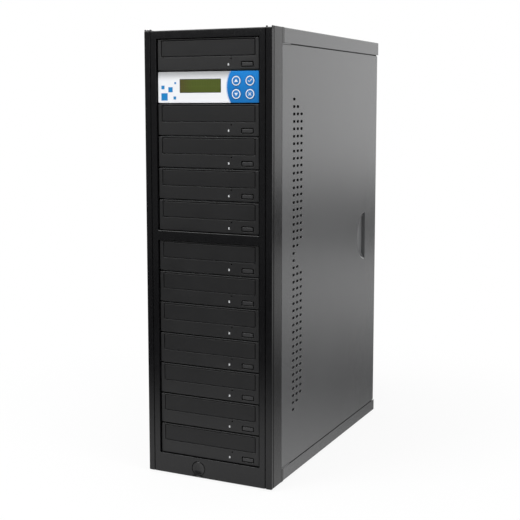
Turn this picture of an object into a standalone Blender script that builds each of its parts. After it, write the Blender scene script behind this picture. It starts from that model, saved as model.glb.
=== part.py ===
"""A disc duplicator tower: twelve 5.25 inch disc drives and a control panel in a steel case.

Metres. X runs to the right as one faces the front, Y to the rear, Z up. The origin lies on the floor
below the middle of the case. Most pieces are drawn in the case's own frame: x from the middle, y from
the front face, z from the underside of the case.
"""

import math

import bmesh
import bpy
from mathutils import Matrix, Vector

# Clearances
FIT_GAP = 0.0003
CUT_OVERRUN = 0.002
JOIN_DEPTH = 0.0005

# Shading
SHARP_ANGLE = math.radians(40)

# Case
CASE_DEPTH = 0.402
SHEET = 0.001
FOOT_HEIGHT = 0.002
FOOT_RADIUS = 0.009
FOOT_SIDE_INSET = 0.022
FOOT_END_INSET = 0.045
FOOT_SIDES = 16

# Bays, counted from the top
BAY_PITCH = 0.042
BAYS_ABOVE_DIVIDER = 6
BAYS_BELOW_DIVIDER = 7
BAYS_ABOVE_PANEL = 1
TOP_BAR_HEIGHT = 0.0125
DIVIDER_HEIGHT = 0.0125
BOTTOM_STRIP_HEIGHT = 0.027

# Front frame
BEZEL_DEPTH = 0.031
BEZEL_SKIN = 0.003
BEZEL_WALL = 0.0025
STILE_WIDTH = 0.0177
BEZEL_CORNER_RADIUS = 0.004
GROOVE_WIDTH = 0.0012
GROOVE_DEPTH = 0.0014
POST_WIDTH = 0.0086
SWITCH_BRACKET_WIDTH = 0.016
SWITCH_BRACKET_THICKNESS = 0.002

# Drive
FACE_RECESS = 0.0025
FACE_SIDE_GAP = 0.00105
FACE_TOP_GAP = 0.0003
FACE_THICKNESS = 0.005
FACE_OVERHANG = 0.00125
HOUSING_TOP_GAP = 0.0002
HOUSING_TAIL = 0.010
DECK_THICKNESS = 0.0012
CONNECTOR_WIDTH = 0.100
CONNECTOR_HEIGHT = 0.010
CONNECTOR_LIFT = 0.004

# Tray
DISC_RADIUS = 0.060
DISC_GAP = 0.00025
SMALL_DISC_RADIUS = 0.040
SMALL_DISC_GAP = 0.001
DOOR_SIDE_MARGIN = 0.00625
DOOR_OVERHANG = 0.0025
DOOR_HEIGHT = 0.0204
DOOR_TOP_MARGIN = 0.0026
DOOR_THICKNESS = 0.0045
TRAY_RIM = 0.00525
TRAY_TAIL = 0.0365
TRAY_THICKNESS = 0.006
TRAY_LIFT = 0.0016
WELL_DEPTH = 0.0022
SMALL_WELL_DEPTH = 0.0012
WELL_FRONT_MARGIN = 0.003
PICKUP_SLOT_WIDTH = 0.034
SPINDLE_HOLE_RADIUS = 0.020
WELL_SIDES = 36
SMALL_WELL_SIDES = 24

# Eject button
EJECT_WIDTH = 0.0165
EJECT_HEIGHT = 0.006
EJECT_THICKNESS = 0.004
EJECT_SIDE_MARGIN = 0.0088
EJECT_LIFT = 0.0072
EJECT_TRAVEL = 0.001
EJECT_EDGE = 0.0006

# Control panel
PANEL_THICKNESS = 0.003
PANEL_ARM_THICKNESS = 0.0015
PANEL_ARM_LENGTH = 0.055
PANEL_ARM_HEIGHT = 0.032
WINDOW_LEFT_MARGIN = 0.03305
WINDOW_RIGHT_MARGIN = 0.05465
WINDOW_TOP_MARGIN = 0.010
WINDOW_FOOT_MARGIN = 0.0135
KEY_DEPTH = 0.0055
KEY_STAND = 0.0008
KEY_EDGE = 0.0006
KEY_TRAVEL = 0.0005
KEY_SIDE_MARGIN = 0.01295
KEY_COLUMN_PITCH = 0.0195
KEY_TOP_MARGIN = 0.0064
KEY_FOOT_MARGIN = 0.0051
KEY_ROW_GAP = 0.0035
KEY_SIDES = 24

# Display module
LCD_FRAME_SIDE_BORDER = 0.0052
LCD_FRAME_EDGE_BORDER = 0.00315
LCD_FRAME_DEPTH = 0.0075
LCD_BOARD_SIDE_BORDER = 0.0044
LCD_BOARD_EDGE_BORDER = 0.0059
LCD_BOARD_THICKNESS = 0.0016

# Controller board
BOARD_THICKNESS = 0.0016
BOARD_LENGTH = 0.135
BOARD_LIFT = 0.001
KEY_BOARD_WIDTH = 0.040
SWITCH_SIZE = 0.006
SWITCH_DEPTH = 0.004
PORT_COUNT = 12
PORT_WIDTH = 0.008
PORT_HEIGHT = 0.009
PORT_LENGTH = 0.016
PORT_SIDE_MARGIN = 0.0078
HEAT_SINK_SIZE = 0.030
HEAT_SINK_HEIGHT = 0.010

# Power button
BUTTON_RADIUS = 0.0095
BUTTON_X = -0.016
BUTTON_LIFT = 0.0122
BUTTON_DEPTH = 0.009
BUTTON_RIM = 0.001
BUTTON_DISH = 0.0014
BUTTON_TRAVEL = 0.002
BUTTON_SIDES = 32
DISH_RINGS = 3

# Top cover
TOP_BAND_HEIGHT = 0.0194
REAR_LIP_HEIGHT = 0.008

# Chassis
BOTTOM_BAND_HEIGHT = 0.0172
REAR_INSET = 0.0044

# Side panels
SEAM_GAP = 0.001
LIP_HEIGHT = 0.005
LIP_FRONT_INSET = 0.010
PANEL_TRAVEL = 0.012
FLANGE_WIDTH = 0.011
VENT_COLUMNS = 3
VENT_FIRST_Y = 0.0696
VENT_COLUMN_PITCH = 0.0122
VENT_LOWEST_Z = 0.0895
VENT_TOP_MARGIN = 0.0702
VENT_GROUPS = 2
VENT_ROWS = 22
SLOT_LENGTH = 0.0078
SLOT_HEIGHT = 0.0034
PULL_WALL_Y = 0.3485
PULL_REACH = 0.0345
PULL_HEIGHT = 0.077
PULL_Z = 0.2969
PULL_DEPTH = 0.0055
PULL_FLOOR_SHARE = 0.7
PULL_SIDES = 32

# Drive cage
CAGE_LENGTH = 0.165
CAGE_STRAP_LENGTH = 0.030

# Power supply
PSU_WIDTH = 0.150
PSU_LENGTH = 0.140
PSU_HEIGHT = 0.086
PSU_WALL = 0.0012
PSU_FAN_SIDE_MARGIN = 0.011
PSU_FAN_EDGE_MARGIN = 0.006
INLET_SIDE_MARGIN = 0.027
INLET_LIFT = 0.060
INLET_WIDTH = 0.0245
INLET_HEIGHT = 0.0165
INLET_DEPTH = 0.016
INLET_WALL = 0.002
ROCKER_LIFT = 0.026
ROCKER_WIDTH = 0.013
ROCKER_RADIUS = 0.0097
ROCKER_REACH = 0.0052
ROCKER_DIP = 0.0026
ROCKER_BACK = 0.005
ROCKER_PIVOT_DEPTH = 0.003
ROCKER_TILT = math.radians(8)
ROCKER_ARC_STEPS = 4
LOOM_HOLE_RADIUS = 0.011
LOOM_LIFT = 0.050

# Fans
CASE_FAN_SIZE = 0.120
CASE_FAN_DEPTH = 0.025
CASE_FAN_RIM = 0.0035
CASE_FAN_Z = 0.250
CASE_FAN_HUB_RADIUS = 0.020
PSU_FAN_HUB_RADIUS = 0.015
CARRIER_THICKNESS = 0.003
STRUT_WIDTH = 0.005
STRUT_COUNT = 4
ROTOR_RUN_GAP = 0.0006
TIP_GAP = 0.0015
CASE_ROTOR_DEPTH = 0.019
PSU_ROTOR_DEPTH = 0.018
BLADE_COUNT = 7
BLADE_THICKNESS = 0.0016
BLADE_PITCH = math.radians(40)
BLADE_CHORD_SHARE = 1.1
BLADE_ROOT_DEPTH = 0.003
FAN_SIDES = 32
GRILLE_SLOT_WIDTH = 0.0045
GRILLE_SLOT_PITCH = 0.008

# Wiring loom
TRUNK_RADIUS = 0.006
BRANCH_RADIUS = 0.0028
TRUNK_SETBACK = 0.022
LOOM_X = 0.020
PLUG_WIDTH = 0.040
PLUG_LENGTH = 0.008
PLUG_OVERLAP = 0.001
TRUNK_SIDES = 12
BRANCH_SIDES = 8

# Worked out from the sizes above
WELL_RADIUS = DISC_RADIUS + DISC_GAP
SMALL_WELL_RADIUS = SMALL_DISC_RADIUS + SMALL_DISC_GAP
TRAY_WIDTH = 2 * (WELL_RADIUS + TRAY_RIM)
TRAY_LENGTH = WELL_FRONT_MARGIN + 2 * WELL_RADIUS + TRAY_TAIL
DOOR_WIDTH = TRAY_WIDTH + 2 * DOOR_OVERHANG
FACE_WIDTH = DOOR_WIDTH + 2 * DOOR_SIDE_MARGIN
FACE_HEIGHT = BAY_PITCH - 2 * FACE_TOP_GAP
HOUSING_WIDTH = FACE_WIDTH - 2 * FACE_OVERHANG
HOUSING_HEIGHT = FACE_HEIGHT - 2 * HOUSING_TOP_GAP
HOUSING_LENGTH = TRAY_LENGTH + HOUSING_TAIL
BEZEL_OPENING_WIDTH = FACE_WIDTH + 2 * FACE_SIDE_GAP
CASE_WIDTH = BEZEL_OPENING_WIDTH + 2 * STILE_WIDTH
BAY_COUNT = BAYS_ABOVE_DIVIDER + BAYS_BELOW_DIVIDER
CASE_HEIGHT = TOP_BAR_HEIGHT + DIVIDER_HEIGHT + BOTTOM_STRIP_HEIGHT + BAY_COUNT * BAY_PITCH
CASE_BOTTOM = FOOT_HEIGHT + FIT_GAP
CASE_ORIGIN = (0, -CASE_DEPTH / 2, CASE_BOTTOM)
HALF_WIDTH = CASE_WIDTH / 2
HALF_OPENING = BEZEL_OPENING_WIDTH / 2
DIVIDER_Z = BOTTOM_STRIP_HEIGHT + BAYS_BELOW_DIVIDER * BAY_PITCH
STEEL_FRONT = BEZEL_DEPTH + FIT_GAP
PANEL_REAR = CASE_DEPTH - REAR_INSET
REAR_WALL = PANEL_REAR - SHEET - FIT_GAP
REAR_WALL_INNER = REAR_WALL - SHEET
EJECT_X = FACE_WIDTH / 2 - EJECT_SIDE_MARGIN - EJECT_WIDTH / 2
DOOR_BASE = FACE_HEIGHT - DOOR_TOP_MARGIN - DOOR_HEIGHT
TRAY_BASE = DOOR_BASE + TRAY_LIFT
TRAY_TOP = TRAY_BASE + TRAY_THICKNESS
WELL_Y = DOOR_THICKNESS + WELL_FRONT_MARGIN + WELL_RADIUS
PANEL_SHEET_BASE = BOTTOM_BAND_HEIGHT + SEAM_GAP
PANEL_SHEET_TOP = CASE_HEIGHT - TOP_BAND_HEIGHT - SEAM_GAP
PSU_BASE = SHEET + FIT_GAP
PSU_REAR = REAR_WALL_INNER - FIT_GAP
PSU_FRONT = PSU_REAR - PSU_LENGTH
PSU_FAN_Z = PSU_BASE + PSU_HEIGHT / 2
HOUSING_REAR = FACE_RECESS + FACE_THICKNESS + HOUSING_LENGTH
TRUNK_Y = HOUSING_REAR + TRUNK_SETBACK
WINDOW_LEFT = WINDOW_LEFT_MARGIN - FACE_WIDTH / 2
WINDOW_WIDTH = FACE_WIDTH - WINDOW_LEFT_MARGIN - WINDOW_RIGHT_MARGIN
WINDOW_HEIGHT = FACE_HEIGHT - WINDOW_TOP_MARGIN - WINDOW_FOOT_MARGIN
LCD_X = WINDOW_LEFT + WINDOW_WIDTH / 2
LCD_Z = WINDOW_FOOT_MARGIN + WINDOW_HEIGHT / 2
KEY_RADIUS = (FACE_HEIGHT - KEY_TOP_MARGIN - KEY_FOOT_MARGIN - KEY_ROW_GAP) / 4
CASE_FAN_RADIUS = CASE_FAN_SIZE / 2 - CASE_FAN_RIM
PSU_FAN_RADIUS = PSU_HEIGHT / 2 - PSU_FAN_EDGE_MARGIN
PSU_FAN_X = PSU_FAN_SIDE_MARGIN + PSU_FAN_RADIUS - PSU_WIDTH / 2
INLET_X = PSU_WIDTH / 2 - INLET_SIDE_MARGIN
VENT_REACH = PANEL_SHEET_TOP - VENT_TOP_MARGIN - VENT_LOWEST_Z
VENT_ROW_PITCH = VENT_REACH / (VENT_GROUPS * VENT_ROWS - 1)

# Colours as red, green, blue, then roughness and metallic
BLACK_GLOSS = ((0.016, 0.016, 0.018), 0.25, 0)
BLACK_MATTE = ((0.028, 0.028, 0.029), 0.45, 0)
DOOR_BLACK = ((0.024, 0.024, 0.025), 0.38, 0)
GREY_PAINT = ((0.24, 0.25, 0.26), 0.35, 0.6)
STEEL = ((0.55, 0.56, 0.57), 0.35, 1)
PANEL_WHITE = ((0.78, 0.79, 0.80), 0.4, 0)
KEY_BLUE = ((0.014, 0.216, 0.578), 0.35, 0)
OLIVE_DISPLAY = ((0.075, 0.105, 0.018), 0.25, 0)
BOARD_GREEN = ((0.01, 0.09, 0.03), 0.5, 0)
RUBBER_BLACK = ((0.015, 0.015, 0.015), 0.9, 0)
WIRE_BLACK = ((0.02, 0.02, 0.02), 0.6, 0)


def clear_scene():
    for thing in list(bpy.data.objects):
        bpy.data.objects.remove(thing)


def new_collection(name):
    made = bpy.data.collections.new(name)
    bpy.context.scene.collection.children.link(made)
    return made


clear_scene()
PARTS = new_collection("disc_duplicator_tower")
HELPERS = new_collection("cutters")


def add_piece(name, mesh, place=CASE_ORIGIN):
    """A piece of the tower, with its mesh drawn about its place."""
    piece = bpy.data.objects.new(name, mesh)
    piece.location = place
    PARTS.objects.link(piece)
    return piece


def add_helper(mesh, place):
    """A shape that is only cut away from a piece or joined to it."""
    helper = bpy.data.objects.new(mesh.name, mesh)
    helper.location = place
    helper.hide_render = True
    helper.display_type = "WIRE"
    HELPERS.objects.link(helper)
    return helper


def combine(piece, mesh, operation):
    boolean = piece.modifiers.new(mesh.name, "BOOLEAN")
    boolean.operation = operation
    boolean.solver = "EXACT"
    boolean.object = add_helper(mesh, piece.location)


def cut(piece, mesh):
    combine(piece, mesh, "DIFFERENCE")


def join(piece, mesh):
    combine(piece, mesh, "UNION")


def finish(piece, finish_values):
    """Gives the piece its own material."""
    colour, roughness, metallic = finish_values
    material = bpy.data.materials.new(piece.name)
    material.use_nodes = True
    shader = material.node_tree.nodes["Principled BSDF"]
    shader.inputs["Base Color"].default_value = (*colour, 1)
    shader.inputs["Roughness"].default_value = roughness
    shader.inputs["Metallic"].default_value = metallic
    piece.data.materials.clear()
    piece.data.materials.append(material)
    return piece


def settled_mesh(pattern):
    """The mesh that the pattern's modifiers make. The pattern itself is kept only as a helper."""
    graph = bpy.context.evaluated_depsgraph_get()
    mesh = bpy.data.meshes.new_from_object(pattern.evaluated_get(graph))
    PARTS.objects.unlink(pattern)
    HELPERS.objects.link(pattern)
    pattern.hide_render = True
    pattern.display_type = "WIRE"
    return mesh


def mesh_from(name, sketch):
    mesh = bpy.data.meshes.new(name)
    sketch.to_mesh(mesh)
    sketch.free()
    return mesh


def box_mesh(name, *boxes):
    """Boxes in one mesh, each given by its low and its high corner."""
    sketch = bmesh.new()
    for low, high in boxes:
        middle = (Vector(low) + Vector(high)) / 2
        size = Vector(high) - Vector(low)
        place = Matrix.Translation(middle) @ Matrix.Diagonal((*size, 1))
        bmesh.ops.create_cube(sketch, size=1, matrix=place)
    return mesh_from(name, sketch)


def rod_mesh(name, sides, *rods):
    """Round rods in one mesh, each given by its two ends and its radius."""
    sketch = bmesh.new()
    for start, end, radius in rods:
        along = Vector(end) - Vector(start)
        turn = along.to_track_quat("Z", "Y").to_matrix().to_4x4()
        bmesh.ops.create_cone(
            sketch,
            cap_ends=True,
            segments=sides,
            radius1=radius,
            radius2=radius,
            depth=along.length,
            matrix=Matrix.Translation((Vector(start) + Vector(end)) / 2) @ turn,
        )
    return mesh_from(name, sketch)


def face_out(sketch):
    """Turns the faces of a closed sketch outwards."""
    bmesh.ops.recalc_face_normals(sketch, faces=sketch.faces[:])
    if sketch.calc_volume(signed=True) < 0:
        bmesh.ops.reverse_faces(sketch, faces=sketch.faces[:])


def outline_mesh(name, outline, low, high, first, second):
    """A flat outline, drawn along its first and second axis, and as thick as low to high along the
    axis square to both."""
    curve = bpy.data.curves.new(name, "CURVE")
    curve.dimensions = "2D"
    curve.fill_mode = "BOTH"
    curve.extrude = (high - low) / 2
    spline = curve.splines.new("POLY")
    spline.points.add(len(outline) - 1)
    for point, (along_first, along_second) in zip(spline.points, outline):
        point.co = (along_first, along_second, 0, 1)
    spline.use_cyclic_u = True
    flat = bpy.data.objects.new(name, curve)
    HELPERS.objects.link(flat)
    graph = bpy.context.evaluated_depsgraph_get()
    mesh = bpy.data.meshes.new_from_object(flat.evaluated_get(graph))
    bpy.data.objects.remove(flat)
    sketch = bmesh.new()
    sketch.from_mesh(mesh)
    bmesh.ops.remove_doubles(sketch, verts=sketch.verts, dist=FIT_GAP / 100)
    third = first.cross(second)
    stand = Matrix((first, second, third)).transposed().to_4x4()
    middle = Matrix.Translation(third * (low + high) / 2)
    bmesh.ops.transform(sketch, matrix=middle @ stand, verts=sketch.verts)
    face_out(sketch)
    sketch.to_mesh(mesh)
    sketch.free()
    return mesh


def round_corners(piece, radius, segments, chosen):
    """Rounds the chosen edges of a box, by their middle and the axis that they run along."""
    weights = piece.data.attributes.new("bevel_weight_edge", "FLOAT", "EDGE")
    points = piece.data.vertices
    for edge in piece.data.edges:
        start, end = (points[index].co for index in edge.vertices)
        way = Vector([abs(round(part)) for part in (end - start).normalized()])
        weights.data[edge.index].value = float(chosen((start + end) / 2, way))
    bevel = piece.modifiers.new("Rounded corners", "BEVEL")
    bevel.limit_method = "WEIGHT"
    bevel.width = radius
    bevel.segments = segments


def turned(name, profile, sides, place):
    """A turned piece whose axis faces the front. The profile is radius and height, top to bottom."""
    mesh = bpy.data.meshes.new(name)
    points = [(radius, 0, height) for radius, height in profile]
    mesh.from_pydata(points, [(i, i + 1) for i in range(len(points) - 1)], [])
    piece = add_piece(name, mesh, place)
    piece.rotation_euler.x = math.pi / 2
    screw = piece.modifiers.new("Turned", "SCREW")
    screw.steps = sides
    screw.render_steps = sides
    screw.use_merge_vertices = True
    screw.merge_threshold = FIT_GAP / 100
    screw.use_normal_calculate = False
    return piece


def in_bay(bay, x=0, y=0, z=0):
    """A world place from the middle of the foot of a bay's face."""
    below = BAY_COUNT - 1 - bay
    height = BOTTOM_STRIP_HEIGHT + below * BAY_PITCH + FACE_TOP_GAP
    if bay < BAYS_ABOVE_DIVIDER:
        height += DIVIDER_HEIGHT
    return Vector(CASE_ORIGIN) + Vector((x, FACE_RECESS + y, height + z))


def drive_bays():
    """The bays that hold a drive: all but the control panel's."""
    return [*range(BAYS_ABOVE_PANEL), *range(BAYS_ABOVE_PANEL + 1, BAY_COUNT)]


def front_bezel():
    """The plastic frame that the faces of the drives sit in, hollow behind its skin."""
    body = box_mesh("front_bezel", ((-HALF_WIDTH, 0, 0), (HALF_WIDTH, BEZEL_DEPTH, CASE_HEIGHT)))
    piece = add_piece("front_bezel", body)
    middle = BEZEL_DEPTH / 2
    round_corners(piece, BEZEL_CORNER_RADIUS, 3, lambda at, way: at.y < middle and way.z)
    lower_top = DIVIDER_Z
    upper_base = DIVIDER_Z + DIVIDER_HEIGHT
    upper_top = CASE_HEIGHT - TOP_BAR_HEIGHT
    rear = BEZEL_DEPTH + CUT_OVERRUN
    openings = [(BOTTOM_STRIP_HEIGHT, lower_top), (upper_base, upper_top)]
    for low, high in openings:
        hole = ((-HALF_OPENING, -CUT_OVERRUN, low), (HALF_OPENING, rear, high))
        cut(piece, box_mesh("bay_opening", hole))
    post_inner = HALF_OPENING + BEZEL_WALL
    post_outer = HALF_WIDTH - BEZEL_WALL
    bar_half = HALF_OPENING - BEZEL_WALL
    pocket_top = CASE_HEIGHT - BEZEL_WALL
    pockets = [
        ((-post_outer, BEZEL_SKIN, BEZEL_WALL), (-post_inner, rear, pocket_top)),
        ((post_inner, BEZEL_SKIN, BEZEL_WALL), (post_outer, rear, pocket_top)),
    ]
    for low, high in [(0, BOTTOM_STRIP_HEIGHT), (lower_top, upper_base), (upper_top, CASE_HEIGHT)]:
        floor = low + BEZEL_WALL
        roof = high - BEZEL_WALL
        pockets.append(((-bar_half, BEZEL_SKIN, floor), (bar_half, rear, roof)))
    cut(piece, box_mesh("pockets", *pockets))
    groove_outer = HALF_WIDTH - POST_WIDTH
    groove_inner = groove_outer - GROOVE_WIDTH
    over = CASE_HEIGHT + CUT_OVERRUN
    grooves = [
        ((groove_inner, -CUT_OVERRUN, -CUT_OVERRUN), (groove_outer, GROOVE_DEPTH, over)),
        ((-groove_outer, -CUT_OVERRUN, -CUT_OVERRUN), (-groove_inner, GROOVE_DEPTH, over)),
    ]
    cut(piece, box_mesh("grooves", *grooves))
    start = (BUTTON_X, -CUT_OVERRUN, BUTTON_LIFT)
    end = (BUTTON_X, BEZEL_SKIN + CUT_OVERRUN, BUTTON_LIFT)
    hole = rod_mesh("button_hole", BUTTON_SIDES, (start, end, BUTTON_RADIUS + FIT_GAP))
    cut(piece, hole)
    bracket_front = BUTTON_DEPTH + BUTTON_TRAVEL + FIT_GAP
    reach = SWITCH_BRACKET_WIDTH / 2
    bracket_low = (BUTTON_X - reach, bracket_front, BEZEL_WALL - JOIN_DEPTH)
    bracket_top = BOTTOM_STRIP_HEIGHT - BEZEL_WALL + JOIN_DEPTH
    bracket_high = (BUTTON_X + reach, bracket_front + SWITCH_BRACKET_THICKNESS, bracket_top)
    join(piece, box_mesh("switch_bracket", (bracket_low, bracket_high)))
    finish(piece, BLACK_GLOSS)


def drive_mesh():
    """One disc drive: a plastic face and a steel housing with a tray tunnel over a hollow deck."""
    face = box_mesh("drive", ((-FACE_WIDTH / 2, 0, 0), (FACE_WIDTH / 2, FACE_THICKNESS, FACE_HEIGHT)))
    pattern = add_piece("drive_pattern", face)
    rear = FACE_THICKNESS + HOUSING_LENGTH
    half = HOUSING_WIDTH / 2
    front = FACE_THICKNESS - JOIN_DEPTH
    top = HOUSING_TOP_GAP + HOUSING_HEIGHT
    join(pattern, box_mesh("housing", ((-half, front, HOUSING_TOP_GAP), (half, rear, top))))
    door_half = DOOR_WIDTH / 2 + FIT_GAP
    door_top = DOOR_BASE + DOOR_HEIGHT + FIT_GAP
    aperture_low = (-door_half, -CUT_OVERRUN, DOOR_BASE - FIT_GAP)
    aperture_high = (door_half, DOOR_THICKNESS + FIT_GAP, door_top)
    cut(pattern, box_mesh("aperture", (aperture_low, aperture_high)))
    tray_half = TRAY_WIDTH / 2 + FIT_GAP
    tunnel_base = TRAY_BASE - FIT_GAP
    tunnel_rear = DOOR_THICKNESS + TRAY_LENGTH + CUT_OVERRUN
    tunnel_high = (tray_half, tunnel_rear, door_top)
    cut(pattern, box_mesh("tunnel", ((-tray_half, DOOR_THICKNESS, tunnel_base), tunnel_high)))
    inner = half - SHEET
    floor = HOUSING_TOP_GAP + SHEET
    roof = tunnel_base - DECK_THICKNESS
    cavity = ((-inner, FACE_THICKNESS + SHEET, floor), (inner, rear - SHEET, roof))
    cut(pattern, box_mesh("cavity", cavity))
    window_half = CONNECTOR_WIDTH / 2
    window_base = HOUSING_TOP_GAP + CONNECTOR_LIFT
    window_low = (-window_half, rear - SHEET - CUT_OVERRUN, window_base)
    window_high = (window_half, rear + CUT_OVERRUN, window_base + CONNECTOR_HEIGHT)
    cut(pattern, box_mesh("connector_window", (window_low, window_high)))
    reach = EJECT_WIDTH / 2 + FIT_GAP
    rise = EJECT_HEIGHT / 2 + FIT_GAP
    pocket_rear = EJECT_THICKNESS + EJECT_TRAVEL + FIT_GAP
    pocket_low = (EJECT_X - reach, -CUT_OVERRUN, EJECT_LIFT - rise)
    pocket_high = (EJECT_X + reach, pocket_rear, EJECT_LIFT + rise)
    cut(pattern, box_mesh("eject_pocket", (pocket_low, pocket_high)))
    return settled_mesh(pattern)


def tray_mesh():
    """A tray with its door: a large and a small disc well and the slot for the pickup."""
    half = DOOR_WIDTH / 2
    door = ((-half, 0, DOOR_BASE), (half, DOOR_THICKNESS, DOOR_BASE + DOOR_HEIGHT))
    pattern = add_piece("tray_pattern", box_mesh("tray", door))
    half = TRAY_WIDTH / 2
    front = DOOR_THICKNESS - JOIN_DEPTH
    rear = DOOR_THICKNESS + TRAY_LENGTH
    join(pattern, box_mesh("plate", ((-half, front, TRAY_BASE), (half, rear, TRAY_TOP))))
    over = TRAY_TOP + CUT_OVERRUN
    large_floor = TRAY_TOP - WELL_DEPTH
    small_floor = large_floor - SMALL_WELL_DEPTH
    large = ((0, WELL_Y, large_floor), (0, WELL_Y, over), WELL_RADIUS)
    small = ((0, WELL_Y, small_floor), (0, WELL_Y, over), SMALL_WELL_RADIUS)
    cut(pattern, rod_mesh("large_well", WELL_SIDES, large))
    cut(pattern, rod_mesh("small_well", SMALL_WELL_SIDES, small))
    slot = PICKUP_SLOT_WIDTH / 2
    slot_front = WELL_Y - SPINDLE_HOLE_RADIUS
    slot_rear = WELL_Y + WELL_RADIUS
    slot_low = (-slot, slot_front, TRAY_BASE - CUT_OVERRUN)
    cut(pattern, box_mesh("pickup_slot", (slot_low, (slot, slot_rear, over))))
    return settled_mesh(pattern)


def eject_mesh():
    """An eject button with its front edges broken."""
    half = EJECT_WIDTH / 2
    rise = EJECT_HEIGHT / 2
    body = box_mesh("eject_button", ((-half, 0, -rise), (half, EJECT_THICKNESS, rise)))
    pattern = add_piece("eject_pattern", body)
    middle = EJECT_THICKNESS / 2
    round_corners(pattern, EJECT_EDGE, 1, lambda at, way: at.y < middle and not way.y)
    return settled_mesh(pattern)


def drives():
    """A drive, a tray and an eject button in each bay but the control panel's."""
    meshes = drive_mesh(), tray_mesh(), eject_mesh()
    for number, bay in enumerate(drive_bays(), start=1):
        drive, tray, button = (mesh.copy() for mesh in meshes)
        finish(add_piece(f"drive_{number:02}", drive, in_bay(bay)), BLACK_MATTE)
        finish(add_piece(f"tray_{number:02}", tray, in_bay(bay)), DOOR_BLACK)
        place = in_bay(bay, EJECT_X, z=EJECT_LIFT)
        finish(add_piece(f"eject_button_{number:02}", button, place), BLACK_MATTE)


def key_places():
    """Each key's name, with its place across and up the panel."""
    upper = FACE_HEIGHT - KEY_TOP_MARGIN - KEY_RADIUS
    lower = KEY_FOOT_MARGIN + KEY_RADIUS
    right = FACE_WIDTH / 2 - KEY_SIDE_MARGIN
    left = right - KEY_COLUMN_PITCH
    return {
        "key_up": (left, upper),
        "key_down": (left, lower),
        "key_enter": (right, upper),
        "key_back": (right, lower),
    }


def control_panel():
    """The face plate in the second bay, with two arms that slide into the cage."""
    half = FACE_WIDTH / 2
    place = in_bay(BAYS_ABOVE_PANEL)
    plate = box_mesh("control_panel", ((-half, 0, 0), (half, PANEL_THICKNESS, FACE_HEIGHT)))
    piece = add_piece("control_panel", plate, place)
    outer = HOUSING_WIDTH / 2
    inner = outer - PANEL_ARM_THICKNESS
    front = PANEL_THICKNESS - JOIN_DEPTH
    rear = PANEL_THICKNESS + PANEL_ARM_LENGTH
    base = (FACE_HEIGHT - PANEL_ARM_HEIGHT) / 2
    top = base + PANEL_ARM_HEIGHT
    arms = [((-outer, front, base), (-inner, rear, top)), ((inner, front, base), (outer, rear, top))]
    join(piece, box_mesh("arms", *arms))
    window_top = FACE_HEIGHT - WINDOW_TOP_MARGIN
    window_low = (WINDOW_LEFT, -CUT_OVERRUN, WINDOW_FOOT_MARGIN)
    window_high = (WINDOW_LEFT + WINDOW_WIDTH, PANEL_THICKNESS + CUT_OVERRUN, window_top)
    cut(piece, box_mesh("window", (window_low, window_high)))
    behind = PANEL_THICKNESS + CUT_OVERRUN
    radius = KEY_RADIUS + FIT_GAP
    holes = [((x, -CUT_OVERRUN, z), (x, behind, z), radius) for x, z in key_places().values()]
    cut(piece, rod_mesh("key_holes", KEY_SIDES, *holes))
    finish(piece, PANEL_WHITE)


def keys():
    """Four round keys that stand a little proud of the panel."""
    profile = [
        (0, KEY_STAND),
        (KEY_RADIUS - KEY_EDGE, KEY_STAND),
        (KEY_RADIUS, KEY_STAND - KEY_EDGE),
        (KEY_RADIUS, KEY_STAND - KEY_DEPTH),
        (0, KEY_STAND - KEY_DEPTH),
    ]
    for name, (x, z) in key_places().items():
        finish(turned(name, profile, KEY_SIDES, in_bay(BAYS_ABOVE_PANEL, x, z=z)), KEY_BLUE)


def lcd_module():
    """The display in its frame on a small board, just behind the window."""
    front = PANEL_THICKNESS + FIT_GAP
    half = WINDOW_WIDTH / 2 + LCD_FRAME_SIDE_BORDER
    rise = WINDOW_HEIGHT / 2 + LCD_FRAME_EDGE_BORDER
    rear = front + LCD_FRAME_DEPTH
    frame = ((-half, front, -rise), (half, rear, rise))
    place = in_bay(BAYS_ABOVE_PANEL, LCD_X, z=LCD_Z)
    piece = add_piece("lcd_module", box_mesh("lcd_module", frame), place)
    half += LCD_BOARD_SIDE_BORDER
    rise += LCD_BOARD_EDGE_BORDER
    board_low = (-half, rear - JOIN_DEPTH, -rise)
    board_high = (half, rear - JOIN_DEPTH + LCD_BOARD_THICKNESS, rise)
    join(piece, box_mesh("board", (board_low, board_high)))
    finish(piece, OLIVE_DISPLAY)


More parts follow.
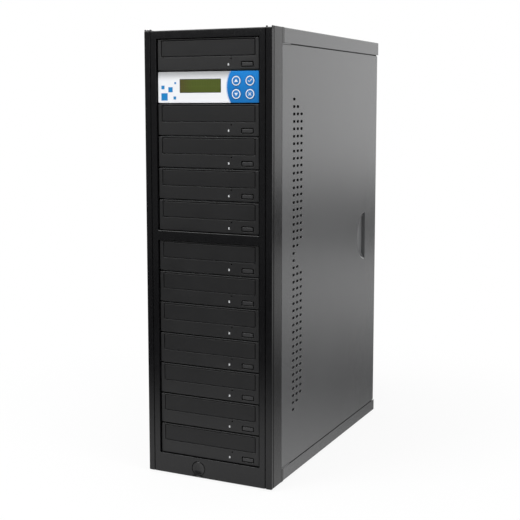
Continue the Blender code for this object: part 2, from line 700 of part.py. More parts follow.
def controller_board():
    """The board between the panel's arms, with the ports at its rear and the key switches on a
    standing board at its front."""
    half = HOUSING_WIDTH / 2 - PANEL_ARM_THICKNESS - FIT_GAP
    switch_front = KEY_DEPTH - KEY_STAND + KEY_TRAVEL + FIT_GAP
    key_board_front = switch_front + SWITCH_DEPTH
    key_board_rear = key_board_front + BOARD_THICKNESS
    front = key_board_rear - JOIN_DEPTH
    rear = front + BOARD_LENGTH
    top = BOARD_LIFT + BOARD_THICKNESS
    lcd_rear = PANEL_THICKNESS + FIT_GAP + LCD_FRAME_DEPTH + LCD_BOARD_THICKNESS
    main_front = max(front, lcd_rear + FIT_GAP)
    main_board = ((-half, main_front, BOARD_LIFT), (half, rear, top))
    place = in_bay(BAYS_ABOVE_PANEL)
    piece = add_piece("controller_board", box_mesh("controller_board", main_board), place)
    key_board_low = (half - KEY_BOARD_WIDTH, key_board_front, BOARD_LIFT)
    key_board_high = (half, main_front + JOIN_DEPTH, FACE_HEIGHT - BOARD_LIFT)
    join(piece, box_mesh("key_board", (key_board_low, key_board_high)))
    reach = SWITCH_SIZE / 2
    behind = key_board_front + JOIN_DEPTH
    switches = []
    for x, z in key_places().values():
        switches.append(((x - reach, switch_front, z - reach), (x + reach, behind, z + reach)))
    join(piece, box_mesh("switches", *switches))
    foot = top - JOIN_DEPTH
    first = PORT_SIDE_MARGIN - half
    pitch = (-2 * first - PORT_WIDTH) / (PORT_COUNT - 1)
    fittings = []
    for index in range(PORT_COUNT):
        left = first + index * pitch
        low = (left, rear - PORT_LENGTH, foot)
        fittings.append((low, (left + PORT_WIDTH, rear - JOIN_DEPTH, top + PORT_HEIGHT)))
    sink_front = (front + rear - HEAT_SINK_SIZE) / 2
    sink_half = HEAT_SINK_SIZE / 2
    sink_high = (sink_half, sink_front + HEAT_SINK_SIZE, top + HEAT_SINK_HEIGHT)
    fittings.append(((-sink_half, sink_front, foot), sink_high))
    join(piece, box_mesh("fittings", *fittings))
    finish(piece, BOARD_GREEN)


def power_button():
    """The round button in the bottom strip, with a dished face inside a narrow rim."""
    dish_radius = BUTTON_RADIUS - BUTTON_RIM
    profile = []
    for ring in range(DISH_RINGS + 1):
        share = ring / DISH_RINGS
        profile.append((dish_radius * share, -BUTTON_DISH * (1 - share**2)))
    profile += [(BUTTON_RADIUS, 0), (BUTTON_RADIUS, -BUTTON_DEPTH), (0, -BUTTON_DEPTH)]
    place = Vector(CASE_ORIGIN) + Vector((BUTTON_X, 0, BUTTON_LIFT))
    finish(turned("power_button", profile, BUTTON_SIDES, place), BLACK_GLOSS)


def top_cover():
    """A folded sheet: the top, a band down each side and a lip down the rear."""
    underside = CASE_HEIGHT - SHEET
    inner = HALF_WIDTH - SHEET
    band_foot = CASE_HEIGHT - TOP_BAND_HEIGHT
    top = ((-HALF_WIDTH, STEEL_FRONT, underside), (HALF_WIDTH, CASE_DEPTH, CASE_HEIGHT))
    piece = add_piece("top_cover", box_mesh("top_cover", top))
    roof = underside + JOIN_DEPTH
    for low_x, high_x in [(-HALF_WIDTH, -inner), (inner, HALF_WIDTH)]:
        join(piece, box_mesh("band", ((low_x, STEEL_FRONT, band_foot), (high_x, CASE_DEPTH, roof))))
    lip_low = (-HALF_WIDTH, CASE_DEPTH - SHEET, CASE_HEIGHT - REAR_LIP_HEIGHT)
    join(piece, box_mesh("rear_lip", (lip_low, (HALF_WIDTH, CASE_DEPTH, roof))))
    finish(piece, GREY_PAINT)


def grille_slots(radius, hub_radius):
    """Upright slots across a round grille, as left, right, low and high. The hub's disc stays whole."""
    slots = []
    half = GRILLE_SLOT_WIDTH / 2
    count = int(radius / GRILLE_SLOT_PITCH)
    for index in range(-count, count + 1):
        x = index * GRILLE_SLOT_PITCH
        edge = abs(x) + half
        if edge >= radius:
            continue
        reach = math.sqrt(radius**2 - edge**2)
        near = abs(x) - half
        if near < hub_radius:
            hub = math.sqrt(hub_radius**2 - max(near, 0) ** 2)
            slots.append((x - half, x + half, -reach, -hub))
            slots.append((x - half, x + half, hub, reach))
        else:
            slots.append((x - half, x + half, -reach, reach))
    return slots


def grille_mesh(name, x, z, radius, hub_radius, front, rear):
    """Cutters for a round grille about x, z in a wall from front to rear."""
    low_y = front - CUT_OVERRUN
    high_y = rear + CUT_OVERRUN
    boxes = []
    for left, right, low, high in grille_slots(radius, hub_radius):
        boxes.append(((x + left, low_y, z + low), (x + right, high_y, z + high)))
    return box_mesh(name, *boxes)


def chassis():
    """The base with a band up each side and the rear wall with the power supply's window."""
    base = ((-HALF_WIDTH, STEEL_FRONT, 0), (HALF_WIDTH, CASE_DEPTH, SHEET))
    piece = add_piece("chassis", box_mesh("chassis", base))
    inner = HALF_WIDTH - SHEET
    floor = SHEET - JOIN_DEPTH
    for low_x, high_x in [(-HALF_WIDTH, -inner), (inner, HALF_WIDTH)]:
        band = ((low_x, STEEL_FRONT, floor), (high_x, CASE_DEPTH, BOTTOM_BAND_HEIGHT))
        join(piece, box_mesh("band", band))
    wall_half = inner - FIT_GAP
    wall_low = (-wall_half, REAR_WALL_INNER, floor)
    wall_high = (wall_half, REAR_WALL, CASE_HEIGHT - SHEET - FIT_GAP)
    join(piece, box_mesh("rear_wall", (wall_low, wall_high)))
    window_half = PSU_WIDTH / 2 - CUT_OVERRUN
    window_low = (-window_half, REAR_WALL_INNER - CUT_OVERRUN, PSU_BASE + CUT_OVERRUN)
    window_high = (window_half, REAR_WALL + CUT_OVERRUN, PSU_BASE + PSU_HEIGHT - CUT_OVERRUN)
    cut(piece, box_mesh("psu_window", (window_low, window_high)))
    wall = (REAR_WALL_INNER, REAR_WALL)
    grille = grille_mesh("fan_grille", 0, CASE_FAN_Z, CASE_FAN_RADIUS, CASE_FAN_HUB_RADIUS, *wall)
    cut(piece, grille)
    finish(piece, GREY_PAINT)


def vent_slots():
    """Places of the slots as y and z. The ends of each group taper to one slot, at its front."""
    places = []
    for row in range(VENT_GROUPS * VENT_ROWS):
        in_group = row % VENT_ROWS
        from_end = min(in_group, VENT_ROWS - 1 - in_group)
        for column in range(min(from_end + 1, VENT_COLUMNS)):
            y = VENT_FIRST_Y + column * VENT_COLUMN_PITCH
            places.append((y, VENT_LOWEST_Z + row * VENT_ROW_PITCH))
    return places


def pull_share(depth):
    """How much of its width and height the finger pull keeps at a depth."""
    return 1 - (1 - PULL_FLOOR_SHARE) * depth / PULL_DEPTH


def pull_mesh(name, side, plane, start, grow):
    """Half a flat cone that narrows inwards from a plane of the sheet. It begins at the depth start,
    and its straight side is the wall of the finger pull."""
    sketch = bmesh.new()
    bmesh.ops.create_cone(
        sketch,
        cap_ends=True,
        segments=PULL_SIDES,
        radius1=pull_share(start),
        radius2=pull_share(PULL_DEPTH),
        depth=1,
    )
    halved = bmesh.ops.bisect_plane(
        sketch,
        geom=sketch.verts[:] + sketch.edges[:] + sketch.faces[:],
        plane_co=(0, 0, 0),
        plane_no=(0, 1, 0),
        clear_outer=True,
    )
    rim = [thing for thing in halved["geom_cut"] if isinstance(thing, bmesh.types.BMEdge)]
    bmesh.ops.contextual_create(sketch, geom=rim)
    half_height = PULL_HEIGHT / 2 + grow
    reach = PULL_REACH + grow
    for point in sketch.verts:
        across, forward, down = point.co
        depth = PULL_DEPTH if down > 0 else start
        x = side * (plane - depth)
        point.co = (x, PULL_WALL_Y + grow + forward * reach, PULL_Z + across * half_height)
    face_out(sketch)
    return mesh_from(name, sketch)


def side_panel(name, side):
    """A sheet with hooked lips behind the bands, a rear flange, vent slots and a finger pull."""
    outer = HALF_WIDTH
    inner = outer - SHEET
    lip_outer = inner - FIT_GAP
    lip_inner = lip_outer - SHEET

    def between(x_a, x_b, low_y, high_y, low_z, high_z):
        low_x, high_x = sorted((side * x_a, side * x_b))
        return (low_x, low_y, low_z), (high_x, high_y, high_z)

    base = PANEL_SHEET_BASE
    top = PANEL_SHEET_TOP
    sheet = between(inner, outer, STEEL_FRONT, PANEL_REAR, base, top)
    piece = add_piece(name, box_mesh(name, sheet))
    flange = between(outer - FLANGE_WIDTH, inner + JOIN_DEPTH, PANEL_REAR - SHEET, PANEL_REAR, base, top)
    join(piece, box_mesh("rear_flange", flange))
    front = STEEL_FRONT + LIP_FRONT_INSET
    rear = REAR_WALL_INNER - FIT_GAP - PANEL_TRAVEL - CUT_OVERRUN
    web_outer = inner + JOIN_DEPTH
    for edge, up in [(base, 1), (top, -1)]:
        tip = edge - up * LIP_HEIGHT
        web_outside = edge + up * SHEET
        web_inside = web_outside + up * SHEET
        outline = [
            (tip, side * lip_outer),
            (web_outside, side * lip_outer),
            (web_outside, side * web_outer),
            (web_inside, side * web_outer),
            (web_inside, side * lip_inner),
            (tip, side * lip_inner),
        ]
        join(piece, outline_mesh("hook", outline, front, rear, Vector((0, 0, 1)), Vector((1, 0, 0))))
    join(piece, pull_mesh("pull_boss", side, inner, -JOIN_DEPTH, SHEET))
    cut(piece, pull_mesh("pull_scoop", side, outer, -CUT_OVERRUN, 0))
    half_length = SLOT_LENGTH / 2
    half_height = SLOT_HEIGHT / 2
    slots = []
    for y, z in vent_slots():
        ends = (y - half_length, y + half_length, z - half_height, z + half_height)
        slots.append(between(inner - CUT_OVERRUN, outer + CUT_OVERRUN, *ends))
    cut(piece, box_mesh("vent_slots", *slots))
    finish(piece, GREY_PAINT)


def drive_cage():
    """Two walls that hold the drives, tied by straps at the top and the bottom."""
    inner = HOUSING_WIDTH / 2 + FIT_GAP
    outer = inner + SHEET
    front = STEEL_FRONT
    rear = front + CAGE_LENGTH
    base = SHEET + FIT_GAP
    top = CASE_HEIGHT - SHEET - FIT_GAP
    left = ((-outer, front, base), (-inner, rear, top))
    piece = add_piece("drive_cage", box_mesh("drive_cage", left))
    join(piece, box_mesh("right_wall", ((inner, front, base), (outer, rear, top))))
    middle = (front + rear) / 2
    strap_ends = middle - CAGE_STRAP_LENGTH / 2, middle + CAGE_STRAP_LENGTH / 2
    reach = inner + JOIN_DEPTH
    for low_z in (base, top - SHEET):
        strap = ((-reach, strap_ends[0], low_z), (reach, strap_ends[1], low_z + SHEET))
        join(piece, box_mesh("strap", strap))
    finish(piece, STEEL)


def power_supply():
    """A steel box with a mains inlet, a hole for the rocker switch and a fan grille at its rear."""
    half = PSU_WIDTH / 2
    top = PSU_BASE + PSU_HEIGHT
    body = ((-half, PSU_FRONT, PSU_BASE), (half, PSU_REAR, top))
    piece = add_piece("power_supply", box_mesh("power_supply", body))
    inner = half - PSU_WALL
    inside_rear = PSU_REAR - PSU_WALL
    inside_low = (-inner, PSU_FRONT + PSU_WALL, PSU_BASE + PSU_WALL)
    cut(piece, box_mesh("inside", (inside_low, (inner, inside_rear, top - PSU_WALL))))
    inlet_z = PSU_BASE + INLET_LIFT
    reach = INLET_WIDTH / 2
    rise = INLET_HEIGHT / 2
    depth = INLET_DEPTH + INLET_WALL
    shell_reach = reach + INLET_WALL
    shell_rise = rise + INLET_WALL
    shell_low = (INLET_X - shell_reach, PSU_REAR - depth, inlet_z - shell_rise)
    shell_high = (INLET_X + shell_reach, inside_rear + JOIN_DEPTH, inlet_z + shell_rise)
    join(piece, box_mesh("inlet_body", (shell_low, shell_high)))
    socket_low = (INLET_X - reach, PSU_REAR - INLET_DEPTH, inlet_z - rise)
    socket_high = (INLET_X + reach, PSU_REAR + CUT_OVERRUN, inlet_z + rise)
    cut(piece, box_mesh("inlet_socket", (socket_low, socket_high)))
    reach = ROCKER_WIDTH / 2 + FIT_GAP
    rise = ROCKER_RADIUS + FIT_GAP
    rocker_z = PSU_BASE + ROCKER_LIFT
    rocker_low = (INLET_X - reach, inside_rear - CUT_OVERRUN, rocker_z - rise)
    rocker_high = (INLET_X + reach, PSU_REAR + CUT_OVERRUN, rocker_z + rise)
    cut(piece, box_mesh("rocker_hole", (rocker_low, rocker_high)))
    wall = (inside_rear, PSU_REAR)
    grille = grille_mesh("psu_grille", PSU_FAN_X, PSU_FAN_Z, PSU_FAN_RADIUS, PSU_FAN_HUB_RADIUS, *wall)
    cut(piece, grille)
    carrier_front = inside_rear - CARRIER_THICKNESS
    start = (PSU_FAN_X, carrier_front, PSU_FAN_Z)
    end = (PSU_FAN_X, inside_rear + JOIN_DEPTH, PSU_FAN_Z)
    join(piece, rod_mesh("fan_carrier", FAN_SIDES, (start, end, PSU_FAN_HUB_RADIUS)))
    loom_z = PSU_BASE + LOOM_LIFT
    start = (LOOM_X, PSU_FRONT - CUT_OVERRUN, loom_z)
    end = (LOOM_X, PSU_FRONT + PSU_WALL + CUT_OVERRUN, loom_z)
    cut(piece, rod_mesh("loom_hole", TRUNK_SIDES, (start, end, LOOM_HOLE_RADIUS)))
    finish(piece, STEEL)


def rocker_outline():
    """The rocker from the side, as y and z from its pivot: a dipped face between two round ends."""
    start = math.acos(ROCKER_REACH / ROCKER_RADIUS)
    end = math.acos(-ROCKER_BACK / ROCKER_RADIUS)
    angles = [start + (end - start) * step / ROCKER_ARC_STEPS for step in range(ROCKER_ARC_STEPS + 1)]
    upper = [(ROCKER_RADIUS * math.cos(a), ROCKER_RADIUS * math.sin(a)) for a in angles]
    lower = [(y, -z) for y, z in reversed(upper)]
    return [(ROCKER_DIP, 0)] + upper + lower


def psu_rocker():
    """The mains switch, tipped to one side and turning about its middle."""
    reach = ROCKER_WIDTH / 2
    upright = Vector((0, 0, 1))
    mesh = outline_mesh("psu_rocker", rocker_outline(), -reach, reach, Vector((0, 1, 0)), upright)
    pivot = (INLET_X, PSU_REAR - ROCKER_PIVOT_DEPTH, PSU_BASE + ROCKER_LIFT)
    piece = add_piece("psu_rocker", mesh, Vector(CASE_ORIGIN) + Vector(pivot))
    piece.rotation_euler.x = ROCKER_TILT
    finish(piece, BLACK_MATTE)


def fan_rotor(name, place, hub_radius, tip_radius, depth):
    """A hub with pitched blades. The hub's rear face is at the place, and the axis runs along Y."""
    hub = rod_mesh(name, FAN_SIDES, ((0, 0, 0), (0, -depth, 0), hub_radius))
    piece = add_piece(name, hub, Vector(CASE_ORIGIN) + Vector(place))
    root = hub_radius - BLADE_ROOT_DEPTH
    half_chord = depth * BLADE_CHORD_SHARE / 2
    half_thickness = BLADE_THICKNESS / 2
    tip = math.sqrt(tip_radius**2 - half_chord**2)
    middle = Matrix.Translation((0, -depth / 2, 0))
    for index in range(BLADE_COUNT):
        blade = box_mesh("blade", ((root, -half_chord, -half_thickness), (tip, half_chord, half_thickness)))
        turn = Matrix.Rotation(math.tau * index / BLADE_COUNT, 4, "Y")
        blade.transform(middle @ turn @ Matrix.Rotation(BLADE_PITCH, 4, "X"))
        join(piece, blade)
    finish(piece, BLACK_MATTE)


def fans():
    """The case fan's frame, and the two rotors, each just in front of the disc that carries it."""
    half = CASE_FAN_SIZE / 2
    rear = REAR_WALL_INNER - FIT_GAP
    front = rear - CASE_FAN_DEPTH
    frame = ((-half, front, CASE_FAN_Z - half), (half, rear, CASE_FAN_Z + half))
    piece = add_piece("case_fan_frame", box_mesh("case_fan_frame", frame))
    start = (0, front - CUT_OVERRUN, CASE_FAN_Z)
    end = (0, rear + CUT_OVERRUN, CASE_FAN_Z)
    cut(piece, rod_mesh("duct", FAN_SIDES, (start, end, CASE_FAN_RADIUS)))
    carrier_front = rear - CARRIER_THICKNESS
    start = (0, carrier_front, CASE_FAN_Z)
    join(piece, rod_mesh("carrier", FAN_SIDES, (start, (0, rear, CASE_FAN_Z), CASE_FAN_HUB_RADIUS)))
    root = CASE_FAN_HUB_RADIUS - JOIN_DEPTH
    tip = CASE_FAN_RADIUS + JOIN_DEPTH
    strut_half = STRUT_WIDTH / 2
    thin = CARRIER_THICKNESS - JOIN_DEPTH
    middle = Matrix.Translation((0, rear - JOIN_DEPTH / 2, CASE_FAN_Z))
    for index in range(STRUT_COUNT):
        strut = box_mesh("strut", ((root, -thin, -strut_half), (tip, 0, strut_half)))
        strut.transform(middle @ Matrix.Rotation(math.tau * (index + 0.5) / STRUT_COUNT, 4, "Y"))
        join(piece, strut)
    finish(piece, BLACK_MATTE)
    place = (0, carrier_front - ROTOR_RUN_GAP, CASE_FAN_Z)
    tip = CASE_FAN_RADIUS - TIP_GAP
    fan_rotor("case_fan_rotor", place, CASE_FAN_HUB_RADIUS, tip, CASE_ROTOR_DEPTH)
    place = (PSU_FAN_X, PSU_REAR - PSU_WALL - CARRIER_THICKNESS - ROTOR_RUN_GAP, PSU_FAN_Z)
    tip = PSU_FAN_RADIUS - TIP_GAP
    fan_rotor("psu_fan_rotor", place, PSU_FAN_HUB_RADIUS, tip, PSU_ROTOR_DEPTH)


def drive_cables():
    """The loom: out of the power supply, up behind the drives, with a branch and a plug for each."""
    exit_z = PSU_BASE + LOOM_LIFT
    top_bay = in_bay(0).z - CASE_BOTTOM
    plug_lift = HOUSING_TOP_GAP + CONNECTOR_LIFT + CONNECTOR_HEIGHT / 2
    plug_front = HOUSING_REAR + FIT_GAP
    plug_rear = plug_front + PLUG_LENGTH
    top = top_bay + plug_lift + TRUNK_RADIUS
    low_bay = in_bay(BAY_COUNT - 1).z - CASE_BOTTOM
    foot = min(exit_z, low_bay + plug_lift) - TRUNK_RADIUS
    trunk = ((LOOM_X, TRUNK_Y, foot), (LOOM_X, TRUNK_Y, top), TRUNK_RADIUS)
    piece = add_piece("drive_cables", rod_mesh("drive_cables", TRUNK_SIDES, trunk))
    lead = ((LOOM_X, TRUNK_Y, exit_z), (LOOM_X, PSU_FRONT + PSU_WALL, exit_z), TRUNK_RADIUS - JOIN_DEPTH)
    join(piece, rod_mesh("lead", TRUNK_SIDES, lead))
    branches = []
    plugs = []
    for bay in drive_bays():
        z = in_bay(bay).z - CASE_BOTTOM + plug_lift
        branches.append(((LOOM_X, TRUNK_Y, z), (LOOM_X, plug_rear - JOIN_DEPTH, z), BRANCH_RADIUS))
        reach = PLUG_WIDTH / 2
        rise = CONNECTOR_HEIGHT / 2 + PLUG_OVERLAP
        plugs.append(((LOOM_X - reach, plug_front, z - rise), (LOOM_X + reach, plug_rear, z + rise)))
    join(piece, rod_mesh("branches", BRANCH_SIDES, *branches))
    join(piece, box_mesh("plugs", *plugs))
    finish(piece, WIRE_BLACK)


def feet():
    """Four rubber pads under the corners of the base."""
    across = HALF_WIDTH - FOOT_SIDE_INSET
    along = CASE_DEPTH / 2 - FOOT_END_INSET
    corners = {
        "front_left_foot": (-across, -along, 0),
        "front_right_foot": (across, -along, 0),
        "rear_left_foot": (-across, along, 0),
        "rear_right_foot": (across, along, 0),
    }
    for name, place in corners.items():
        pad = rod_mesh(name, FOOT_SIDES, ((0, 0, 0), (0, 0, FOOT_HEIGHT), FOOT_RADIUS))
        finish(add_piece(name, pad, place), RUBBER_BLACK)


def smooth_round_pieces():
    """Shades the round pieces smooth, but for their edges."""
    round_words = "tray", "key", "button", "rotor", "fan", "foot", "cables"
    for piece in PARTS.objects:
        if any(word in piece.name for word in round_words):
            piece.data.shade_smooth()
            piece.data.set_sharp_from_angle(angle=SHARP_ANGLE)


front_bezel()
drives()
control_panel()
keys()
lcd_module()
controller_board()
power_button()
top_cover()
chassis()
side_panel("left_side_panel", -1)
side_panel("right_side_panel", 1)
drive_cage()
power_supply()
psu_rocker()
fans()
drive_cables()
feet()
smooth_round_pieces()
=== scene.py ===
import math

import bmesh
import bpy
import numpy as np
from bpy.props import FloatProperty, FloatVectorProperty, PointerProperty
from bpy.types import Operator, Panel, PropertyGroup
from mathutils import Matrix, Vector
from mathutils.geometry import delaunay_2d_cdt


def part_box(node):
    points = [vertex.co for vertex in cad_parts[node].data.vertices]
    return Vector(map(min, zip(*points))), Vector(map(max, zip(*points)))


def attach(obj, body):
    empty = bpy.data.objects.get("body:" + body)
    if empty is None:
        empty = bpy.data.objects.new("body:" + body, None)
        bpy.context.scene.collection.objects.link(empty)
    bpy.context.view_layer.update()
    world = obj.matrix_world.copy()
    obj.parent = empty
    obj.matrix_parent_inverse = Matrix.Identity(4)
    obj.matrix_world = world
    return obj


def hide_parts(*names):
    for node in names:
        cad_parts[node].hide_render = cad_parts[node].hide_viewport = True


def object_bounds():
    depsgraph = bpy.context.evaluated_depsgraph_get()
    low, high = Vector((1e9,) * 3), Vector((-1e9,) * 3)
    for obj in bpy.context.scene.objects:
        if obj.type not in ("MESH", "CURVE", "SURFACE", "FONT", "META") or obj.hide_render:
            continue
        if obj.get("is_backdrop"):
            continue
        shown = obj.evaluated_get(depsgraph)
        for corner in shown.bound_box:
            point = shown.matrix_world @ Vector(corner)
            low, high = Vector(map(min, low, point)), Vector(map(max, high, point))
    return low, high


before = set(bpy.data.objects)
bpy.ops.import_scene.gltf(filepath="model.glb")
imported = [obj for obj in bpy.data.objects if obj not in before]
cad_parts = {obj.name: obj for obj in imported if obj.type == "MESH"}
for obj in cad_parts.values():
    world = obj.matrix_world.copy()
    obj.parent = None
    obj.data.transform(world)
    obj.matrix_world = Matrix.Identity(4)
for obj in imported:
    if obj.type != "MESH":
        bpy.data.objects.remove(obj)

bl_info = {
    "name": "Disc duplicator tower",
    "version": (1, 0, 0),
    "blender": (4, 5, 0),
    "location": "3D View > Sidebar > Duplicator",
    "description": "Dresses the packed duplicator tower in its plastics, paint and prints",
    "category": "Object",
}

CAD_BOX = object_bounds()
BODY = "case"

# Meshes
MERGE = 0.000002
SHARP = math.radians(38)
CORNER_STEPS = 4
EDGE_STEPS = 3
DISC_STEPS = 10

# Front frame
FACE_SIDE_GAP = 0.00105
FACE_TOP_GAP = 0.0003
POST_WIDTH = 0.0086
GROOVE_WIDTH = 0.0012
GROOVE_DEPTH = 0.0014
POST_DROP = 0.0019
POST_CAP = 0.0012
POST_FOOT_EDGE = 0.0006
POST_DEPTH = 0.0046
POST_CORNER = 0.0014
POST_INNER_EDGE = 0.0008
FIN_THICKNESS = 0.0014
FIN_EDGE = 0.0004
SIDE_GROOVE_END = 0.0064
SIDE_GROOVE_DEPTH = 0.0016
SIDE_EDGE = 0.0009
TONGUE_LENGTH = 0.006
TONGUE_THICKNESS = 0.0016
TONGUE_EDGE = 0.0003
TOP_EDGE = 0.0012
FRAME_CORNER = 0.0004
OPENING_CORNER = 0.0012
PLATE_EDGE_SHARES = (0.1, 0.3, 0.1, 1)
OPENING_SIDE_SHARE = 0.6
OPENING_HEAD_SHARE = 0.7
OPENING_FOOT_SHARES = [("drive_12", "drive_06", 1), ("drive_05", "drive_01", 1.9)]
BUTTON_X = -0.016
BUTTON_GAP = 0.0006
BUTTON_WELL = 0.0115
BUTTON_EDGE = 0.0012
BUTTON_DISH = 0.0016
DISH_HALF_WIDTH = 0.027
DISH_HALF_HEIGHT = 0.0112
DISH_DEPTH = 0.0005
DISH_RINGS = 8

# Drives
FACE_THICKNESS = 0.0058
FACE_CORNER = 0.0012
FACE_GAP = 0.0006
OPENING_GROWTH = 0.0002
DOOR_INSET = 0.00015
DOOR_GAP = 0.0003
DOOR_RIM = 0.0005
DOOR_THICKNESS = 0.0045
DOOR_CORNER = 0.0015
CAP_INSET = 0.0006
CAP_CORNER = 0.0009
HOUSING_INSET = 0.00125
HOUSING_WALL = 0.001
HOUSING_CORNER = 0.001
DECK_FOOT = 0.0135
RAIL_GAP = 0.0004
POCKET_DEPTH = 0.0053
LENS_X = 0.0304
LENS_DROP = 0.0343
LENS_WIDTH = 0.0024
LENS_HEIGHT = 0.0032
LENS_DEPTH = 0.003
LENS_GAP = 0.0001
LENS_EDGE = 0.0003
PINHOLE_X = 0.0342
PINHOLE_DROP = 0.0267
PINHOLE_RADIUS = 0.001
PINHOLE_DEPTH = 0.004
PINHOLE_RIM = 0.0002
LAP = 0.0002

# Trays
TRAY_FOOT = 0.0016
TRAY_THICKNESS = 0.006
TRAY_SIDE_INSET = 0.0025
WELL_RADIUS = 0.06025
SMALL_WELL_RADIUS = 0.041
WELL_FRONT_MARGIN = 0.003
WELL_DEPTH = 0.0022
SMALL_WELL_DEPTH = 0.0012
SLOT_HALF = 0.017
SPINDLE_RADIUS = 0.020
WELL_EDGE = 0.0004

# Control panel
PANEL_THICKNESS = 0.003
WINDOW_LEFT = -0.0412
WINDOW_RIGHT = 0.0196
WINDOW_FOOT = 0.0135
WINDOW_HEAD = 0.0314
WINDOW_CORNER = 0.0008
WINDOW_RIM = 0.0004
PANE_GAP = 0.0005
PANE_DEPTH = 0.0005
PANE_THICKNESS = 0.002
GASKET_DEPTH = 0.0008
KEY_EDGE = 0.0008
KEY_CROWN = 0.0002
KEY_RING = 0.0012
KEY_RING_INSET = 0.0005
PRINT_STAND = 0.00005
ARROW_HALF_WIDTH = 0.0026
ARROW_FOOT = 0.0014
ARROW_TIP = 0.0024
SIGN_LINE_HALF = 0.00045
TICK_LINES = [((-0.0024, 0.0002), (-0.0006, -0.0016)), ((-0.0010, -0.0016), (0.0025, 0.0020))]
CROSS_LINES = [((-0.0019, -0.0019), (0.0019, 0.0019)), ((-0.0019, 0.0019), (0.0019, -0.0019))]
PANEL_WING_INSET = 0.0047
MODULE_BOARD = 0.0016
MODULE_SIDE = 0.0044
MODULE_EDGE = 0.0059
ARC_X = 0.0663
ARC_Z = 0.0205
ARC_RADIUS = 0.038
ARC_BLUR = 0.00015
ARC_RIM_GAP = 0.0008
ARC_RIM_HALF = 0.0004
HEAD_SHADE_FOOT = 0.028
PANEL_HEIGHT = 0.0414
SQUARE_BLUE = (0.010, 0.190, 0.47)
CELL_WIDTH = 0.0018
CELL_GAP = 0.00025
CELL_HEIGHT = 0.00415
ROW_GAP = 0.0005
BROWN_REACH = 0.020
BROWN = (0.085, 0.060, 0.022)
SQUARES = [
    (-0.0640, 0.0085, 0.0048),
    (-0.0548, 0.0178, 0.0033),
    (-0.0662, 0.0208, 0.0024),
    (-0.0484, 0.0070, 0.0020),
    (-0.0476, 0.0262, 0.0013),
]

# Case
BEND = 0.0015
SHEET = 0.001
SHEET_RIM = 0.0002
SHEET_CORNER = 0.0006
BAND_SETBACK = 0.0002
CHASSIS_BAND = 0.0172
REAR_WALL = 0.3966
COVER_LIP = 0.008
SUPPLY_WINDOW_HALF = 0.073
SUPPLY_WINDOW_FOOT = 0.0033
SUPPLY_WINDOW_HEAD = 0.0853
VENT_FIRST_Y = 0.0696
VENT_COLUMN_PITCH = 0.0122
VENT_COLUMNS = 3
VENT_LOWEST_Z = 0.0895
VENT_ROWS = 22
VENT_GROUPS = 2
VENT_TOP_Z = 0.5074
VENT_LENGTH = 0.0078
VENT_HEIGHT = 0.0034
PULL_WALL_Y = 0.3485
PULL_REACH = 0.0345
PULL_HEIGHT = 0.077
PULL_Z = 0.2969
PULL_DEPTH = 0.0055
PULL_FLOOR_SHARE = 0.7
PULL_ARC_STEPS = 32
PULL_SLOPE_STEPS = 8
PULL_FLOOR_STEPS = 4
FLANGE_WIDTH = 0.011
LIP_HEIGHT = 0.005
LIP_GAP = 0.0003
LIP_FRONT = 0.0413
LIP_REAR = 0.3800
TAB_REAR = 0.058
TAB_HEIGHT = 0.0013
SEAM_EXTRA = 0.0005
SHEET_LEVELS = [(SHEET_RIM, 0), (0, SHEET_RIM), (0, SHEET)]

# Rear
FAN_Z = 0.250
FAN_RADIUS = 0.0565
FAN_HUB_RADIUS = 0.020
FAN_SCREW_REACH = 0.0525
GRILLE_SLOT_WIDTH = 0.0045
GRILLE_SLOT_PITCH = 0.008
PSU_FAN_X = -0.027
PSU_FAN_RADIUS = 0.037
PSU_HUB_RADIUS = 0.015
INLET_X = 0.048
INLET_LIFT = 0.060
INLET_WIDTH = 0.0245
INLET_HEIGHT = 0.0165
INLET_DEPTH = 0.016
ROCKER_LIFT = 0.026
ROCKER_WIDTH = 0.013
ROCKER_RADIUS = 0.0097

PIN_SPACING = 0.007
PIN_HALF_WIDTH = 0.001
PIN_HALF_HEIGHT = 0.002
PIN_LENGTH = 0.012
PIN_DROP = 0.002
PIN_RISE = 0.002
INLET_CORNER = 0.003
INLET_FLANGE = 0.0035
ROCKER_FRAME = 0.0025
COLLAR = 0.0012
MARK_PLACE_SHARE = 0.5
MARK_HALF = 0.0019
MARK_LINE = 0.0006
MARK_SINK = 0.0012
MARK_THICKNESS = 0.0004
SCREW_RADIUS = 0.0034
SCREW_HEIGHT = 0.0018
SCREW_RIM_SHARE = 0.35
SCREW_SLOT = 0.0008
SCREW_SLOT_SHARE = 0.55
SUPPLY_SCREW_REACH = 0.079
SUPPLY_SCREW_LIFT = 0.006
SUPPLY_SCREW_RISE = 0.005
COVER_SCREW_REACH = 0.07
COVER_SCREW_DROP = 0.014
KNURLS = 72
KNURL_SHARE = 0.05
THUMB_RADIUS = 0.0046
THUMB_HEIGHT = 0.0036
THUMB_EDGE = 0.0005
THUMB_INSET = 0.0005
THUMB_FROM_END = 0.060

# Fans and feet
FAN_CORNER = 0.006
FAN_EDGE = 0.0004
MOTOR_PLATE = 0.003
STRUT_HALF = 0.0022
STRUT_LAP = 0.0005
STRUT_FRONT = 0.0027
STRUT_REAR = 0.0003
HUB_EDGE = 0.0015
HUB_INSET = 0.0004
BLADES = 7
BLADE_STEPS = 7
BLADE_ROOT = 0.001
BLADE_MARGIN = 0.0012
BLADE_THICKNESS = 0.0014
BLADE_SWEEP = 0.62
BLADE_BOW = 0.10
BLADE_LEAN = 0.12
FOOT_EDGE = 0.0006

# Reliefs of the finishes
WAVE_RELIEF = 0.0002
BRAID_RELIEF = 0.0001
RUBBER_RELIEF = 0.00005
GRAIN_RELIEF = 0.00003
FINE_RELIEF = 0.00002
FAINT_RELIEF = 0.00001

